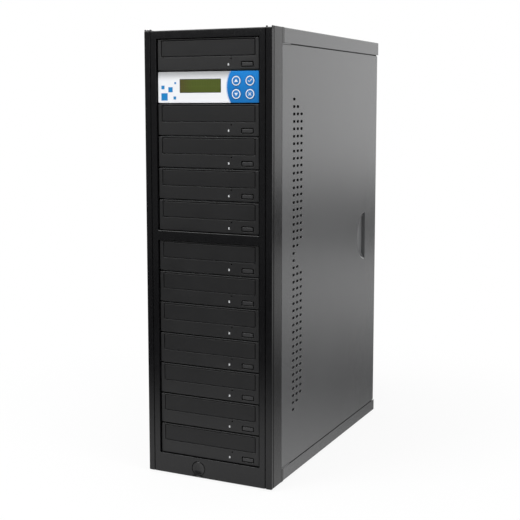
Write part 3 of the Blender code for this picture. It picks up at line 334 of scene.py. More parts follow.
# Stage
LENS_MM = 71.466
CAMERA_PLACE = (0.6377, -1.3803, 0.4995)
CAMERA_TURN = math.radians(25.458)
CAMERA_TILT = math.radians(6.733)
CAMERA_SHIFT = -0.06
FLOOR_RADIUS = 2.2
FLOOR_SIDES = 96
NEAR_GLOSS = (0.25, 0.85)
FAR_GLOSS = (0.2, 1.4)
SHADOW_FADE = (0.22, 0.75)
LAMPS = {
    "front_softbox": ((-1.2, -1.8, 1.75), (0, 0, 0.3), 1.25),
    "side_softbox": ((2.0, -0.7, 1.2), (0, 0, 0.3), 1.1),
    "top_softbox": ((0.0, -0.3, 2.0), (0, 0, 0.4), 1.2),
}


def corners(node):
    """The lowest and the highest corner of a CAD node."""
    low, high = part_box(node)
    return np.array(low), np.array(high)


CASE_LOW, CASE_HIGH = corners("front_bezel")
CASE_FRONT = CASE_LOW[1]
CASE_FOOT = CASE_LOW[2]
HALF_WIDTH = CASE_HIGH[0]
CASE_TOP = CASE_HIGH[2]
SIDES = {"left": -1, "right": 1}
DRIVES = [f"drive_{number:02}" for number in range(1, 13)]
KEYS = ["key_up", "key_down", "key_enter", "key_back"]


def length(name, description, default):
    """A size in metres that a user can set."""
    return FloatProperty(
        name=name, description=description, default=default, min=0, unit="LENGTH", precision=5
    )


def colour(name, description, default):
    """A colour that a user can set."""
    return FloatVectorProperty(
        name=name, description=description, default=default, size=3, min=0, max=1, subtype="COLOR"
    )


def share(name, description, default):
    """A share from 0 to 1 that a user can set."""
    return FloatProperty(name=name, description=description, default=default, min=0, max=1, subtype="FACTOR")


def power(name, description, default):
    """A lamp's power in watts that a user can set."""
    return FloatProperty(name=name, description=description, default=default, min=0, unit="POWER")


class TowerSizes(PropertyGroup):
    face_edge: length("Face edge", "Radius of the edges of the drives' faces", 0.0006)
    door_edge: length("Door edge", "Radius of the front edges of the tray doors", 0.0008)
    cap_edge: length("Cap edge", "Radius of the edges of the eject buttons", 0.0006)
    opening_edge: length("Opening edge", "Radius of the edges of the bay openings", 0.0005)
    panel_edge: length("Panel edge", "Radius of the edges of the control panel", 0.0006)
    sheet_edge: length("Sheet edge", "Radius of the edges of the sheet steel", 0.0002)


class TowerColours(PropertyGroup):
    gloss: colour("Gloss plastic", "Front frame", (0.0055, 0.0055, 0.006))
    button: colour("Power button", "Gloss plastic of the power button", (0.009, 0.009, 0.0095))
    face: colour("Drive faces", "Grained plastic of the drives", (0.0125, 0.0125, 0.013))
    door: colour("Tray doors", "Plastic of the trays and their doors", (0.0115, 0.0115, 0.012))
    cap: colour("Eject buttons", "Plastic of the eject buttons", (0.026, 0.026, 0.027))
    light: colour("Drive lights", "Unlit lenses of the activity lights", (0.52, 0.53, 0.54))
    paint: colour("Case paint", "Satin paint of the steel case", (0.075, 0.076, 0.078))
    steel: colour("Bare steel", "Drive housings, cage and power supply", (0.52, 0.53, 0.54))
    panel: colour("Panel white", "Ground of the control panel", (0.74, 0.75, 0.77))
    blue: colour("Panel blue", "Printed zone and keys", (0.006, 0.16, 0.47))
    display: colour("Display", "Unlit liquid crystal display", (0.075, 0.098, 0.016))
    mark: colour("Marks", "Rings and signs on the keys", (0.72, 0.74, 0.76))


class TowerStage(PropertyGroup):
    ambient: share("Ambient", "Soft light from all round", 0.42)
    front_dark: share("Dark side", "Brightness that gloss sees behind the camera", 0.10)
    floor_shadow: share("Floor shadow", "Share of the floor that takes light and shadow", 0.10)
    front_lamp: power("Front lamp", "Soft lamp at the front left", 34)
    side_lamp: power("Side lamp", "Soft lamp at the right", 18)
    top_lamp: power("Top lamp", "Soft lamp overhead", 20)


class Shape:
    """Points and faces gathered from surfaces that are each worked out as whole arrays."""

    def __init__(self):
        self.points = []
        self.faces = []
        self.count = 0

    def add(self, points, faces):
        """Adds points as rows of x, y, z, and faces as arrays of their indices."""
        self.points.append(np.reshape(points, (-1, 3)))
        self.faces += [array + self.count for array in faces]
        self.count += len(self.points[-1])

    def loft(self, loops, cap_start=True, cap_end=True):
        """Quads between closed loops[row, column], and flat caps on the first and the last."""
        rows, columns = loops.shape[:2]
        index = np.arange(rows * columns).reshape(rows, columns)
        after = np.roll(index, -1, axis=1)
        quads = np.stack([index[:-1], after[:-1], after[1:], index[1:]], axis=-1)
        faces = [quads.reshape(-1, 4)]
        if cap_start:
            faces.append(index[:1, ::-1])
        if cap_end:
            faces.append(index[-1:])
        self.add(loops, faces)

    def grid(self, points):
        """Quads between neighbours of points[row, column]."""
        rows, columns = points.shape[:2]
        index = np.arange(rows * columns).reshape(rows, columns)
        quads = np.stack([index[:-1, :-1], index[1:, :-1], index[1:, 1:], index[:-1, 1:]], axis=-1)
        self.add(points, [quads.reshape(-1, 4)])

    def flat(self, outlines, place, depth):
        """Triangles inside the first outline and outside the others, which are convex."""
        group = np.concatenate([np.full(len(line), number) for number, line in enumerate(outlines)])
        starts = np.cumsum([0] + [len(line) for line in outlines])
        edges = []
        for start, end in zip(starts[:-1], starts[1:]):
            ring = np.arange(start, end)
            edges.append(np.stack([ring, np.roll(ring, -1)], axis=1))
        flat_points = [Vector(point) for point in np.concatenate(outlines).tolist()]
        found = delaunay_2d_cdt(flat_points, np.concatenate(edges).tolist(), [], 1, MERGE / 2)
        spots, triangles, sources = np.array(found[0]), np.array(found[2]), found[3]
        owner = np.array([group[source[0]] if source else -1 for source in sources])
        owners = owner[triangles]
        same = (owners[:, 0] == owners[:, 1]) & (owners[:, 1] == owners[:, 2])
        kept = triangles[~(same & (owners[:, 0] > 0))]
        self.add(place(spots[:, 0], spots[:, 1], depth), [kept])

    def moved(self, offset):
        """The same shape, carried by an offset."""
        other = Shape()
        other.points = [points + np.array(offset) for points in self.points]
        other.faces = self.faces
        other.count = self.count
        return other

    def join(self, other):
        """Takes in another shape."""
        self.faces += [array + self.count for array in other.faces]
        self.points += other.points
        self.count += other.count


def facing_front(u, v, w):
    """Across, up and in, for a piece that faces the front."""
    return np.stack([u, np.full_like(u, 1) * w, v], axis=-1)


def facing_side(u, v, w):
    """Back, up and out, for a piece that faces the side."""
    return np.stack([np.full_like(u, 1) * w, u, v], axis=-1)


def facing_up(u, v, w):
    """Across, back and up, for a piece that lies flat."""
    return np.stack([u, v, np.full_like(u, 1) * w], axis=-1)


def rounded(low, high, radius, steps=CORNER_STEPS, shares=(1, 1, 1, 1)):
    """An outline that grows: a rectangle with a quarter circle at each corner, centre plus radius times
    cosine and sine. The shares say how much it grows at its left, foot, right and head."""

    def outline(grow=0):
        left, foot = low[0] - grow * shares[0], low[1] - grow * shares[1]
        right, head = high[0] + grow * shares[2], high[1] + grow * shares[3]
        bend = min(max(radius + grow, MERGE), (right - left) / 2, (head - foot) / 2)
        turns = np.linspace(0, math.pi / 2, steps + 1) + np.arange(-1, 3)[:, None] * math.pi / 2
        right_bend, left_bend = right - bend, left + bend
        foot_bend, head_bend = foot + bend, head - bend
        middles = np.array(
            [[right_bend, foot_bend], [right_bend, head_bend], [left_bend, head_bend], [left_bend, foot_bend]]
        )
        arcs = middles[:, None] + bend * np.stack([np.cos(turns), np.sin(turns)], axis=-1)
        return arcs.reshape(-1, 2)

    return outline


def disc(middle, radius, steps=DISC_STEPS):
    """The outline of a circle that grows: middle plus radius times cosine and sine."""

    def outline(grow=0):
        turns = np.arange(4 * steps) * math.tau / (4 * steps)
        return np.array(middle) + (radius + grow) * np.stack([np.cos(turns), np.sin(turns)], axis=-1)

    return outline


def quarter(radius, steps=EDGE_STEPS):
    """A rounded edge: how far it is drawn in, radius times (1 - sine), and how deep, times (1 - cosine)."""
    turns = np.linspace(0, math.pi / 2, steps + 1)
    return np.stack([radius * (1 - np.sin(turns)), radius * (1 - np.cos(turns))], axis=1)


def hole(outline, rim, depth, through=False, levels=None):
    """A hole's outline and its levels, each how much it has grown and how deep it lies."""
    if levels is None:
        levels = [*quarter(rim).tolist(), (0, depth)]
    return outline, levels, through


def plate(shape, outline, front, thickness, edge, holes=(), place=facing_front, way=1, rear_edge=0):
    """A block with an outline, rounded front edges and holes. Loop k is the outline drawn in by the
    edge's inset, at the edge's depth."""
    levels = quarter(edge)
    rear = front + way * thickness
    loops = [place(*outline(-inset).T, front + way * depth) for inset, depth in levels]
    if rear_edge:
        rear_levels = quarter(rear_edge)[::-1]
        loops += [place(*outline(-inset).T, rear - way * depth) for inset, depth in rear_levels]
    else:
        loops.append(place(*outline(0).T, rear))
    shape.loft(np.stack(loops), cap_start=False, cap_end=False)
    front_lines = [outline(-levels[0][0])]
    rear_lines = [outline(-rear_edge)]
    for hole_outline, hole_levels, through in holes:
        walls = [place(*hole_outline(grow).T, front + way * depth) for grow, depth in hole_levels]
        shape.loft(np.stack(walls), cap_start=False, cap_end=not through)
        front_lines.append(hole_outline(hole_levels[0][0]))
        if through:
            rear_lines.append(hole_outline(hole_levels[-1][0]))
    shape.flat(front_lines, place, front)
    shape.flat(rear_lines, place, rear)


def block(shape, low, high, edge=0.0003):
    """A box with rounded edges all round, from its low to its high corner."""
    edge = min(edge, (high[1] - low[1]) / 2 - MERGE)
    outline = rounded((low[0], low[2]), (high[0], high[2]), edge, EDGE_STEPS)
    plate(shape, outline, low[1], high[1] - low[1], edge, rear_edge=edge)


def turned(shape, profile, middle, steps=DISC_STEPS, place=facing_front):
    """A surface of revolution: each point of the profile, radius and depth, goes once round the axis."""
    profile = np.array(profile)
    turns = np.arange(4 * steps) * math.tau / (4 * steps)
    across = middle[0] + profile[:, :1] * np.cos(turns)
    up = middle[1] + profile[:, :1] * np.sin(turns)
    shape.loft(place(across, up, profile[:, 1:]), cap_start=False, cap_end=False)


def make_piece(name, shape, material, body=BODY, replaced=(), closed=True, thickness=0):
    """Turns a shape into an object that rides on a body of the frame."""
    mesh = bpy.data.meshes.new(name)
    faces = [face for array in shape.faces for face in array.tolist()]
    mesh.from_pydata(np.concatenate(shape.points).tolist(), [], faces)
    sketch = bmesh.new()
    sketch.from_mesh(mesh)
    bmesh.ops.remove_doubles(sketch, verts=sketch.verts, dist=MERGE)
    bmesh.ops.dissolve_degenerate(sketch, edges=sketch.edges, dist=MERGE)
    if closed:
        bmesh.ops.recalc_face_normals(sketch, faces=sketch.faces)
    sketch.to_mesh(mesh)
    sketch.free()
    mesh.materials.append(material)
    mesh.shade_smooth()
    mesh.set_sharp_from_angle(angle=SHARP)
    piece = bpy.data.objects.new(name, mesh)
    bpy.context.scene.collection.objects.link(piece)
    if thickness:
        wall = piece.modifiers.new("Sheet", "SOLIDIFY")
        wall.thickness = thickness
        wall.offset = -1
    normals = piece.modifiers.new("Even shading", "WEIGHTED_NORMAL")
    normals.keep_sharp = True
    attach(piece, body)
    if replaced:
        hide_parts(*replaced)
    return piece


class Socket:
    """An output of a shader node. Arithmetic on it adds Math nodes."""

    def __init__(self, nodes, socket):
        self.nodes = nodes
        self.socket = socket

    def maths(self, operation, *values):
        """Adds a Math node that works on values or other sockets."""
        return self.nodes.add("Math", {"operation": operation}, dict(enumerate(values)))

    def __add__(self, other):
        return self.maths("ADD", self, other)

    def __radd__(self, other):
        return self.maths("ADD", other, self)

    def __sub__(self, other):
        return self.maths("SUBTRACT", self, other)

    def __rsub__(self, other):
        return self.maths("SUBTRACT", other, self)

    def __mul__(self, other):
        return self.maths("MULTIPLY", self, other)

    def __rmul__(self, other):
        return self.maths("MULTIPLY", other, self)

    def __pow__(self, other):
        return self.maths("POWER", self, other)

    def __lt__(self, other):
        return self.maths("LESS_THAN", self, other)

    def __gt__(self, other):
        return self.maths("GREATER_THAN", self, other)

    def __abs__(self):
        return self.maths("ABSOLUTE", self)

    def largest(self, other):
        """The larger of two."""
        return self.maths("MAXIMUM", self, other)

    def to_and_fro(self, span):
        """Runs up and down between 0 and a span."""
        return self.maths("PINGPONG", self, span)

    def step(self, low, high, low_value=0, high_value=1):
        """Goes smoothly from the low value to the high value between two numbers."""
        sockets = {0: self, 1: low, 2: high, 3: low_value, 4: high_value}
        return self.nodes.add("MapRange", {"interpolation_type": "SMOOTHSTEP"}, sockets)


class Nodes:
    """The nodes of a material or of the world."""

    def __init__(self, owner):
        owner.use_nodes = True
        self.owner = owner
        self.tree = owner.node_tree
        self.tree.nodes.clear()

    def add(self, kind, settings=None, sockets=None, output=0):
        """Adds a node: its type, its settings, and the values or links of its sockets."""
        node = self.tree.nodes.new("ShaderNode" + kind)
        for name, value in (settings or {}).items():
            setattr(node, name, value)
        for name, value in (sockets or {}).items():
            if isinstance(value, Socket):
                self.tree.links.new(value.socket, node.inputs[name])
            else:
                node.inputs[name].default_value = value
        return Socket(self, node.outputs[output]) if node.outputs else None

    def place(self):
        """A point's place in object coordinates."""
        return self.add("TexCoord", output="Object")

    def axes(self):
        """The three numbers of a point's place."""
        whole = self.place()
        return [self.add("SeparateXYZ", sockets={0: whole}, output=axis) for axis in range(3)]

    def noise(self, scale, detail=2, stretch=None):
        """Cloudy noise from 0 to 1. A stretch squeezes it along each axis."""
        where = self.place()
        if stretch:
            where = self.add("Mapping", {"vector_type": "TEXTURE"}, {"Vector": where, "Scale": stretch})
        return self.add("TexNoise", sockets={"Vector": where, "Scale": scale, "Detail": detail})

    def mix(self, factor, first, second):
        """A colour between two colours."""
        pair = [value if isinstance(value, Socket) else (*value, 1) for value in (first, second)]
        return self.add("Mix", {"data_type": "RGBA"}, {0: factor, 6: pair[0], 7: pair[1]}, output=2)

    def bump(self, height, distance, strength=1, normal=None):
        """A relief as high as a distance where the height is 1."""
        sockets = {"Height": height, "Distance": distance, "Strength": strength}
        if normal:
            sockets["Normal"] = normal
        return self.add("Bump", sockets=sockets)

    def surface(self, colour, roughness, normal=None, metallic=0, **constants):
        """The finish itself: a principled shader and the output."""
        sockets = {"Base Color": colour, "Roughness": roughness, "Metallic": metallic}
        if normal:
            sockets["Normal"] = normal
        for name, value in constants.items():
            sockets[name.replace("_", " ")] = value
        shader = self.add("BsdfPrincipled", sockets=sockets)
        self.add("OutputMaterial", sockets={"Surface": shader})
        return self.owner


def shaded(colour, amount):
    """A colour made lighter or darker."""
    return tuple(part * amount for part in colour)


def finish(name, make, *values):
    """A finish, made the first time that it is asked for. The ending keeps it apart from the frame's
    own materials."""
    full_name = f"{name}_finish"
    return bpy.data.materials.get(full_name) or make(full_name, *values)


def moulded_plastic(name, base, roughness, grain, specular):
    """Black moulded plastic: a spark-eroded grain, a cloudy sheen and a few pale rubbed spots."""
    nodes = Nodes(bpy.data.materials.new(name))
    fine = nodes.noise(5200, 3)
    cloud = nodes.noise(26, 4)
    rubbed = nodes.noise(190, 5).step(0.60, 0.78)
    tone = nodes.mix(cloud, shaded(base, 0.85), shaded(base, 1.15))
    tone = nodes.mix(rubbed * 0.3, tone, shaded(base, 1.8))
    sheen = roughness + (cloud - 0.5) * 0.12 + rubbed * 0.06
    relief = nodes.bump(fine, grain)
    return nodes.surface(tone, sheen, relief, Specular_IOR_Level=specular)


def gloss_plastic(name, base):
    """Polished black plastic: hardly any grain, fine hairlines and a soft waviness."""
    nodes = Nodes(bpy.data.materials.new(name))
    wave = nodes.noise(45, 2)
    hairs = nodes.noise(900, 4, (1, 1, 12)).step(0.62, 0.75)
    dust = nodes.noise(60, 6)
    tone = nodes.mix(dust, shaded(base, 0.9), shaded(base, 1.25))
    sheen = 0.16 + hairs * 0.10 + dust * 0.08
    relief = nodes.bump(wave, WAVE_RELIEF, 0.5)
    return nodes.surface(tone, sheen, relief, Specular_IOR_Level=0.42)


def case_paint(name, base):
    """Satin powder coat on sheet steel: orange peel, a tone that shifts a little, and the floor of the
    finger pulls matt, with a painted light that makes it paler."""
    nodes = Nodes(bpy.data.materials.new(name))
    x, y, z = nodes.axes()
    along = (y - (CASE_FRONT + PULL_WALL_Y)) * (1 / PULL_REACH)
    up = (z - (CASE_FOOT + PULL_Z)) * (2 / PULL_HEIGHT)
    in_pull = (along**2 + up**2 < 1) * (along < -0.01)
    in_pull = in_pull * (HALF_WIDTH - abs(x)).step(SHEET, PULL_DEPTH)
    peel = nodes.noise(900, 3)
    flow = nodes.noise(8, 3)
    fleck = nodes.noise(3800, 2)
    tone = nodes.mix(flow, shaded(base, 0.92), shaded(base, 1.08))
    tone = nodes.mix(fleck.step(0.55, 0.7) * 0.25, tone, shaded(base, 1.6))
    # Painted light: the floor of the finger pull is made paler than the rest of the paint.
    tone = nodes.mix(in_pull * (0.75 + flow * 0.25), tone, shaded(base, 2.0))
    sheen = 0.19 + flow * 0.04 + fleck * 0.05 + in_pull * 0.15
    relief = nodes.bump(peel, FINE_RELIEF, 0.5)
    return nodes.surface(tone, sheen, relief, IOR=1.6)


def bare_steel(name, base, roughness=0.34):
    """Zinc-plated sheet steel: drawn streaks and a cloudy plating."""
    nodes = Nodes(bpy.data.materials.new(name))
    streak = nodes.noise(700, 3, (1, 16, 1))
    cloud = nodes.noise(35, 5)
    tone = nodes.mix(cloud, shaded(base, 0.82), shaded(base, 1.1))
    sheen = roughness + (streak - 0.5) * 0.16 + cloud * 0.06
    relief = nodes.bump(streak, FAINT_RELIEF)
    return nodes.surface(tone, sheen, relief, metallic=1)


def panel_print(name, ground, blue):
    """The panel's film: white with a painted shade that greys its head, a blue zone inside a circle at
    its right, and a few blue squares at its left."""
    nodes = Nodes(bpy.data.materials.new(name))
    x, _, z = nodes.axes()
    foot = corners("control_panel")[0][2]
    arc = ((x - ARC_X) ** 2 + (z - (foot + ARC_Z)) ** 2) ** 0.5
    # Painted shade: the white darkens towards the panel's head.
    head = (z - foot).step(HEAD_SHADE_FOOT, PANEL_HEIGHT)
    white = nodes.mix(head * 0.8, ground, shaded(ground, 0.3))
    zone = (arc - ARC_RADIUS).step(-ARC_BLUR, ARC_BLUR, 1, 0)
    deep = (z - foot).step(0, 0.041)
    ink = nodes.mix(deep, shaded(blue, 0.85), shaded(blue, 1.15))
    rim = abs(arc - (ARC_RADIUS + ARC_RIM_GAP)) < ARC_RIM_HALF
    tone = nodes.mix(rim * 0.5, white, shaded(blue, 1.2))
    tone = nodes.mix(zone, tone, ink)
    for place, lift, half in SQUARES:
        away = abs(x - place).largest(abs(z - (foot + lift)))
        tone = nodes.mix(away < half, tone, SQUARE_BLUE)
    film = nodes.noise(2600, 3)
    sheen = 0.34 + film * 0.10
    relief = nodes.bump(film, FINE_RELIEF, 0.4)
    return nodes.surface(tone, sheen, relief, Specular_IOR_Level=0.16)


def plain_print(name, base, roughness):
    """Printed or moulded plastic in one hue, with a faint cloud and grain."""
    nodes = Nodes(bpy.data.materials.new(name))
    cloud = nodes.noise(240, 4)
    grain = nodes.noise(4200, 2)
    tone = nodes.mix(cloud, shaded(base, 0.88), shaded(base, 1.1))
    return nodes.surface(tone, roughness + (cloud - 0.5) * 0.1, nodes.bump(grain, FAINT_RELIEF))


def display_glass(name, base):
    """An unlit display: rows of faint cells in an olive field that browns to its left."""
    nodes = Nodes(bpy.data.materials.new(name))
    x, _, z = nodes.axes()
    foot = corners("control_panel")[0][2]
    left = x.step(WINDOW_LEFT, WINDOW_LEFT + BROWN_REACH, 1, 0)
    tone = nodes.mix(left * 0.7, base, BROWN)
    column = (x - WINDOW_LEFT).to_and_fro(CELL_WIDTH) > CELL_GAP
    row = (z - (foot + WINDOW_FOOT + CELL_GAP)).to_and_fro(CELL_HEIGHT) > ROW_GAP
    tone = nodes.mix(column * row * 0.22, tone, shaded(base, 0.6))
    cloud = nodes.noise(90, 3)
    return nodes.surface(tone, 0.16 + cloud * 0.06, Coat_Weight=0.4)


def board_green():
    """A circuit board: tracks under green lacquer."""
    nodes = Nodes(bpy.data.materials.new("board_green"))
    sockets = {"Vector": nodes.place(), "Scale": 160, "Mortar Size": 0.03}
    tracks = nodes.add("TexBrick", {"offset": 0.5}, sockets, output="Fac")
    cloud = nodes.noise(60, 3)
    tone = nodes.mix(tracks, (0.010, 0.075, 0.028), (0.024, 0.150, 0.055))
    return nodes.surface(tone, 0.32 + cloud * 0.2, nodes.bump(tracks, GRAIN_RELIEF))


def rubber():
    """Black rubber, matt and a little chalky."""
    nodes = Nodes(bpy.data.materials.new("foot_rubber"))
    grain = nodes.noise(1500, 4)
    tone = nodes.mix(grain, (0.010, 0.010, 0.010), (0.022, 0.022, 0.022))
    return nodes.surface(tone, 0.75 + grain * 0.15, nodes.bump(grain, RUBBER_RELIEF))


def woven_sleeve():
    """Braided sleeving on the wires."""
    nodes = Nodes(bpy.data.materials.new("wire_sleeve"))
    braid = nodes.add("TexVoronoi", {"distance": "MANHATTAN"}, {"Vector": nodes.place(), "Scale": 900})
    tone = nodes.mix(braid.step(0.1, 0.6), (0.030, 0.030, 0.031), (0.008, 0.008, 0.008))
    return nodes.surface(tone, 0.55 + braid * 0.2, nodes.bump(braid, BRAID_RELIEF, 0.6))


def frame_shape(sizes):
    """The front frame: a plate with the two bay openings, and a rounded post down each side."""
    shape = Shape()
    low, high = CASE_LOW, CASE_HIGH
    opening_half = corners("control_panel")[1][0] + FACE_SIDE_GAP
    plate_half = HALF_WIDTH - POST_WIDTH - GROOVE_WIDTH
    depth = high[1] - low[1]
    head = high[2] - POST_DROP
    outline = rounded((-plate_half, low[2]), (plate_half, head), FRAME_CORNER, shares=PLATE_EDGE_SHARES)
    holes = []
    for lowest, highest, foot_share in OPENING_FOOT_SHARES:
        foot = corners(lowest)[0][2] - FACE_TOP_GAP
        head = corners(highest)[1][2] + FACE_TOP_GAP
        shares = (OPENING_SIDE_SHARE, foot_share, OPENING_SIDE_SHARE, OPENING_HEAD_SHARE)
        opening = rounded((-opening_half, foot), (opening_half, head), OPENING_CORNER, shares=shares)
        holes.append(hole(opening, sizes.opening_edge, depth, True))
    holes.append(button_dish())
    plate(shape, outline, low[1], depth, TOP_EDGE, holes)
    for side in (-1, 1):
        add_post(shape, side)
    add_tongues(shape)
    return shape


def button_dish():
    """The hollow round the power button. At a share from 0 to 1 its outline goes from the button's
    well to an ellipse, and its depth is the dish's, times (1 + cosine of half a turn times the share) / 2."""
    low, high = corners("power_button")
    middle = np.array((BUTTON_X, (low[2] + high[2]) / 2))
    well = (high[2] - low[2]) / 2 + BUTTON_GAP
    turns = np.arange(8 * DISC_STEPS) * math.tau / (8 * DISC_STEPS)
    ray = np.stack([np.cos(turns), np.sin(turns)], axis=-1)
    oval = 1 / np.hypot(ray[:, 0] / DISH_HALF_WIDTH, ray[:, 1] / DISH_HALF_HEIGHT)

    def outline(share=0):
        return middle + ray * (well + (oval - well) * share)[:, None]

    shares = np.linspace(1, 0, DISH_RINGS + 1)
    depths = DISH_DEPTH * (1 + np.cos(math.pi * shares)) / 2
    levels = np.stack([shares, depths], axis=1).tolist()
    return hole(outline, 0, 0, False, [*levels, (0, BUTTON_WELL)])


def add_tongues(shape):
    """Thin tongues behind the frame, along the top, the foot and the bands of the cover and the chassis."""
    start, end = CASE_HIGH[1] - LAP, CASE_HIGH[1] + TONGUE_LENGTH
    band_foot = corners("top_cover")[0][2]
    inside = HALF_WIDTH - TONGUE_THICKNESS / 2
    for low_z, high_z, flat_z in [
        (band_foot, CASE_TOP, CASE_TOP - TONGUE_THICKNESS),
        (CASE_FOOT, CASE_FOOT + CHASSIS_BAND, CASE_FOOT),
    ]:
        block(shape, (-inside, start, flat_z), (inside, end, flat_z + TONGUE_THICKNESS), TONGUE_EDGE)
        for side in (-1, 1):
            across = sorted((side * (HALF_WIDTH - TONGUE_THICKNESS), side * HALF_WIDTH))
            block(shape, (across[0], start, low_z), (across[1], end, high_z), TONGUE_EDGE)


def add_post(shape, side):
    """A post: a plan with two rounded corners carried up to a rounded head, a thin fin at each side of
    it that stands higher, and the side wall behind a shallow groove."""
    inner = HALF_WIDTH - POST_WIDTH
    front, foot = CASE_FRONT, CASE_FOOT
    head = CASE_TOP - POST_DROP
    turns = np.linspace(0, math.pi / 2, 2 * CORNER_STEPS + 1)

    def plan(inset):
        """Two front corner arcs and a straight back, as across and back."""
        small, reach = POST_INNER_EDGE, POST_INNER_EDGE - inset / 3
        left = np.stack([inner + small - reach * np.cos(turns), front + small - reach * np.sin(turns)], -1)
        big, reach = POST_CORNER, POST_CORNER - inset
        right = np.stack([HALF_WIDTH - big + reach * np.sin(turns), front + big - reach * np.cos(turns)], -1)
        rear = [[HALF_WIDTH - inset, front + POST_DEPTH], [inner + inset / 3, front + POST_DEPTH]]
        return np.concatenate([left, right, rear])

    levels = [(inset, foot + depth) for inset, depth in quarter(POST_FOOT_EDGE)]
    levels += [(inset, head - depth) for inset, depth in quarter(POST_CAP, 6)[::-1]]
    loops = [facing_up(side * plan(inset)[:, 0], plan(inset)[:, 1], z) for inset, z in levels]
    shape.loft(np.stack(loops))
    web = inner - GROOVE_WIDTH - LAP
    behind = front + POST_DEPTH
    wall_front = front + SIDE_GROOVE_END
    under_head = head - 2 * POST_CAP
    fin_half = FIN_THICKNESS / 2
    fin_front = front + POST_CORNER
    for start, end, low_y, high_y, low_z, high_z, edge in [
        (web, HALF_WIDTH - SIDE_GROOVE_DEPTH, behind - LAP, CASE_HIGH[1] - LAP, foot + LAP, head, LAP / 2),
        (HALF_WIDTH - 2 * FIN_THICKNESS, HALF_WIDTH, wall_front, CASE_HIGH[1], foot, CASE_TOP, SIDE_EDGE),
        (web, inner + POST_INNER_EDGE, front + GROOVE_DEPTH, behind, foot + LAP, under_head, LAP / 2),
        (inner - fin_half, inner + fin_half, fin_front, behind, under_head, CASE_TOP, FIN_EDGE),
        (HALF_WIDTH - FIN_THICKNESS, HALF_WIDTH, fin_front, behind, under_head, CASE_TOP, FIN_EDGE),
    ]:
        across = sorted((side * start, side * end))
        block(shape, (across[0], low_y, low_z), (across[1], high_y, high_z), edge)


def local_boxes():
    """The face, door and eject button of the first drive, as seen from the foot of its face."""
    drive_low, drive_high = corners("drive_01")
    origin = np.array([0, drive_low[1], drive_low[2]])
    tray_low, tray_high = corners("tray_01")
    cap_low, cap_high = corners("eject_button_01")
    return {
        "origin": origin,
        "drive": (drive_low - origin, drive_high - origin),
        "tray": (tray_low - origin, tray_high - origin),
        "cap": (cap_low - origin, cap_high - origin),
    }


def face_shape(boxes, sizes):
    """A drive's face, with the door's opening, the eject pocket, the lens hole and the pinhole."""
    shape = Shape()
    low, high = boxes["drive"]
    tray_low, tray_high = boxes["tray"]
    cap_low, cap_high = boxes["cap"]
    door = around(tray_low, tray_high, DOOR_GAP + OPENING_GROWTH, DOOR_CORNER)
    pocket = around(cap_low, cap_high, DOOR_GAP + OPENING_GROWTH, CAP_CORNER + DOOR_GAP)
    lens_half = np.array([LENS_WIDTH, 0, LENS_HEIGHT]) / 2
    lens_middle = np.array([LENS_X, 0, high[2] - LENS_DROP])
    lens = around(lens_middle - lens_half, lens_middle + lens_half, 0, LENS_EDGE)
    pin = disc((PINHOLE_X, high[2] - PINHOLE_DROP), PINHOLE_RADIUS, 3)
    holes = [
        hole(door, DOOR_RIM, FACE_THICKNESS, True),
        hole(pocket, DOOR_RIM, POCKET_DEPTH),
        hole(lens, LENS_GAP, LENS_DEPTH),
        hole(pin, PINHOLE_RIM, PINHOLE_DEPTH),
    ]
    outline = around(low, high, -FACE_GAP, FACE_CORNER)
    plate(shape, outline, low[1], FACE_THICKNESS, sizes.face_edge, holes)
    return shape


def around(low, high, gap, radius):
    """The rounded outline that stands a gap off a box, as seen from the front."""
    return rounded((low[0] - gap, low[2] - gap), (high[0] + gap, high[2] + gap), radius)


def housing_shape(boxes):
    """A drive's housing: a sheet steel cup behind the face, with a deck under the tray and a rail at
    each side of it."""
    shape = Shape()
    low, high = boxes["drive"]
    tray_low, tray_high = boxes["tray"]
    side = high[0] - HOUSING_INSET
    outline = rounded((-side, low[2] + LAP), (side, high[2] - LAP), HOUSING_CORNER)
    front = low[1] + FACE_THICKNESS + PRINT_STAND
    inner = -HOUSING_WALL
    levels = [(0, high[1]), (0, front), (inner, front), (inner, high[1] - HOUSING_WALL)]
    shape.loft(np.stack([facing_front(*outline(grow).T, y) for grow, y in levels]))
    inside = side - HOUSING_WALL - MERGE
    deck = tray_low[2] + TRAY_FOOT - RAIL_GAP
    rear = high[1] - HOUSING_WALL
    block(shape, (-inside, front, DECK_FOOT), (inside, rear, deck))
    rail = tray_high[0] - TRAY_SIDE_INSET + RAIL_GAP
    top = high[2] - LAP - HOUSING_WALL - MERGE
    block(shape, (-inside, front, deck), (-rail, rear, top))
    block(shape, (rail, front, deck), (inside, rear, top))
    return shape


def lens_shape(boxes):
    """The activity light: a small rounded lens in its hole."""
    shape = Shape()
    high = boxes["drive"][1]
    lens_z = high[2] - LENS_DROP
    half_width = LENS_WIDTH / 2 - LENS_GAP
    half_height = LENS_HEIGHT / 2 - LENS_GAP
    low = (LENS_X - half_width, LENS_GAP, lens_z - half_height)
    block(shape, low, (LENS_X + half_width, LENS_DEPTH, lens_z + half_height), LENS_EDGE)
    return shape


def cap_shape(boxes, sizes):
    """An eject button: a block with a rounded outline and rounded front edges."""
    shape = Shape()
    low, high = boxes["cap"]
    outline = around(low, high, -CAP_INSET, CAP_CORNER)
    plate(shape, outline, low[1], high[1] - low[1], sizes.cap_edge)
    return shape


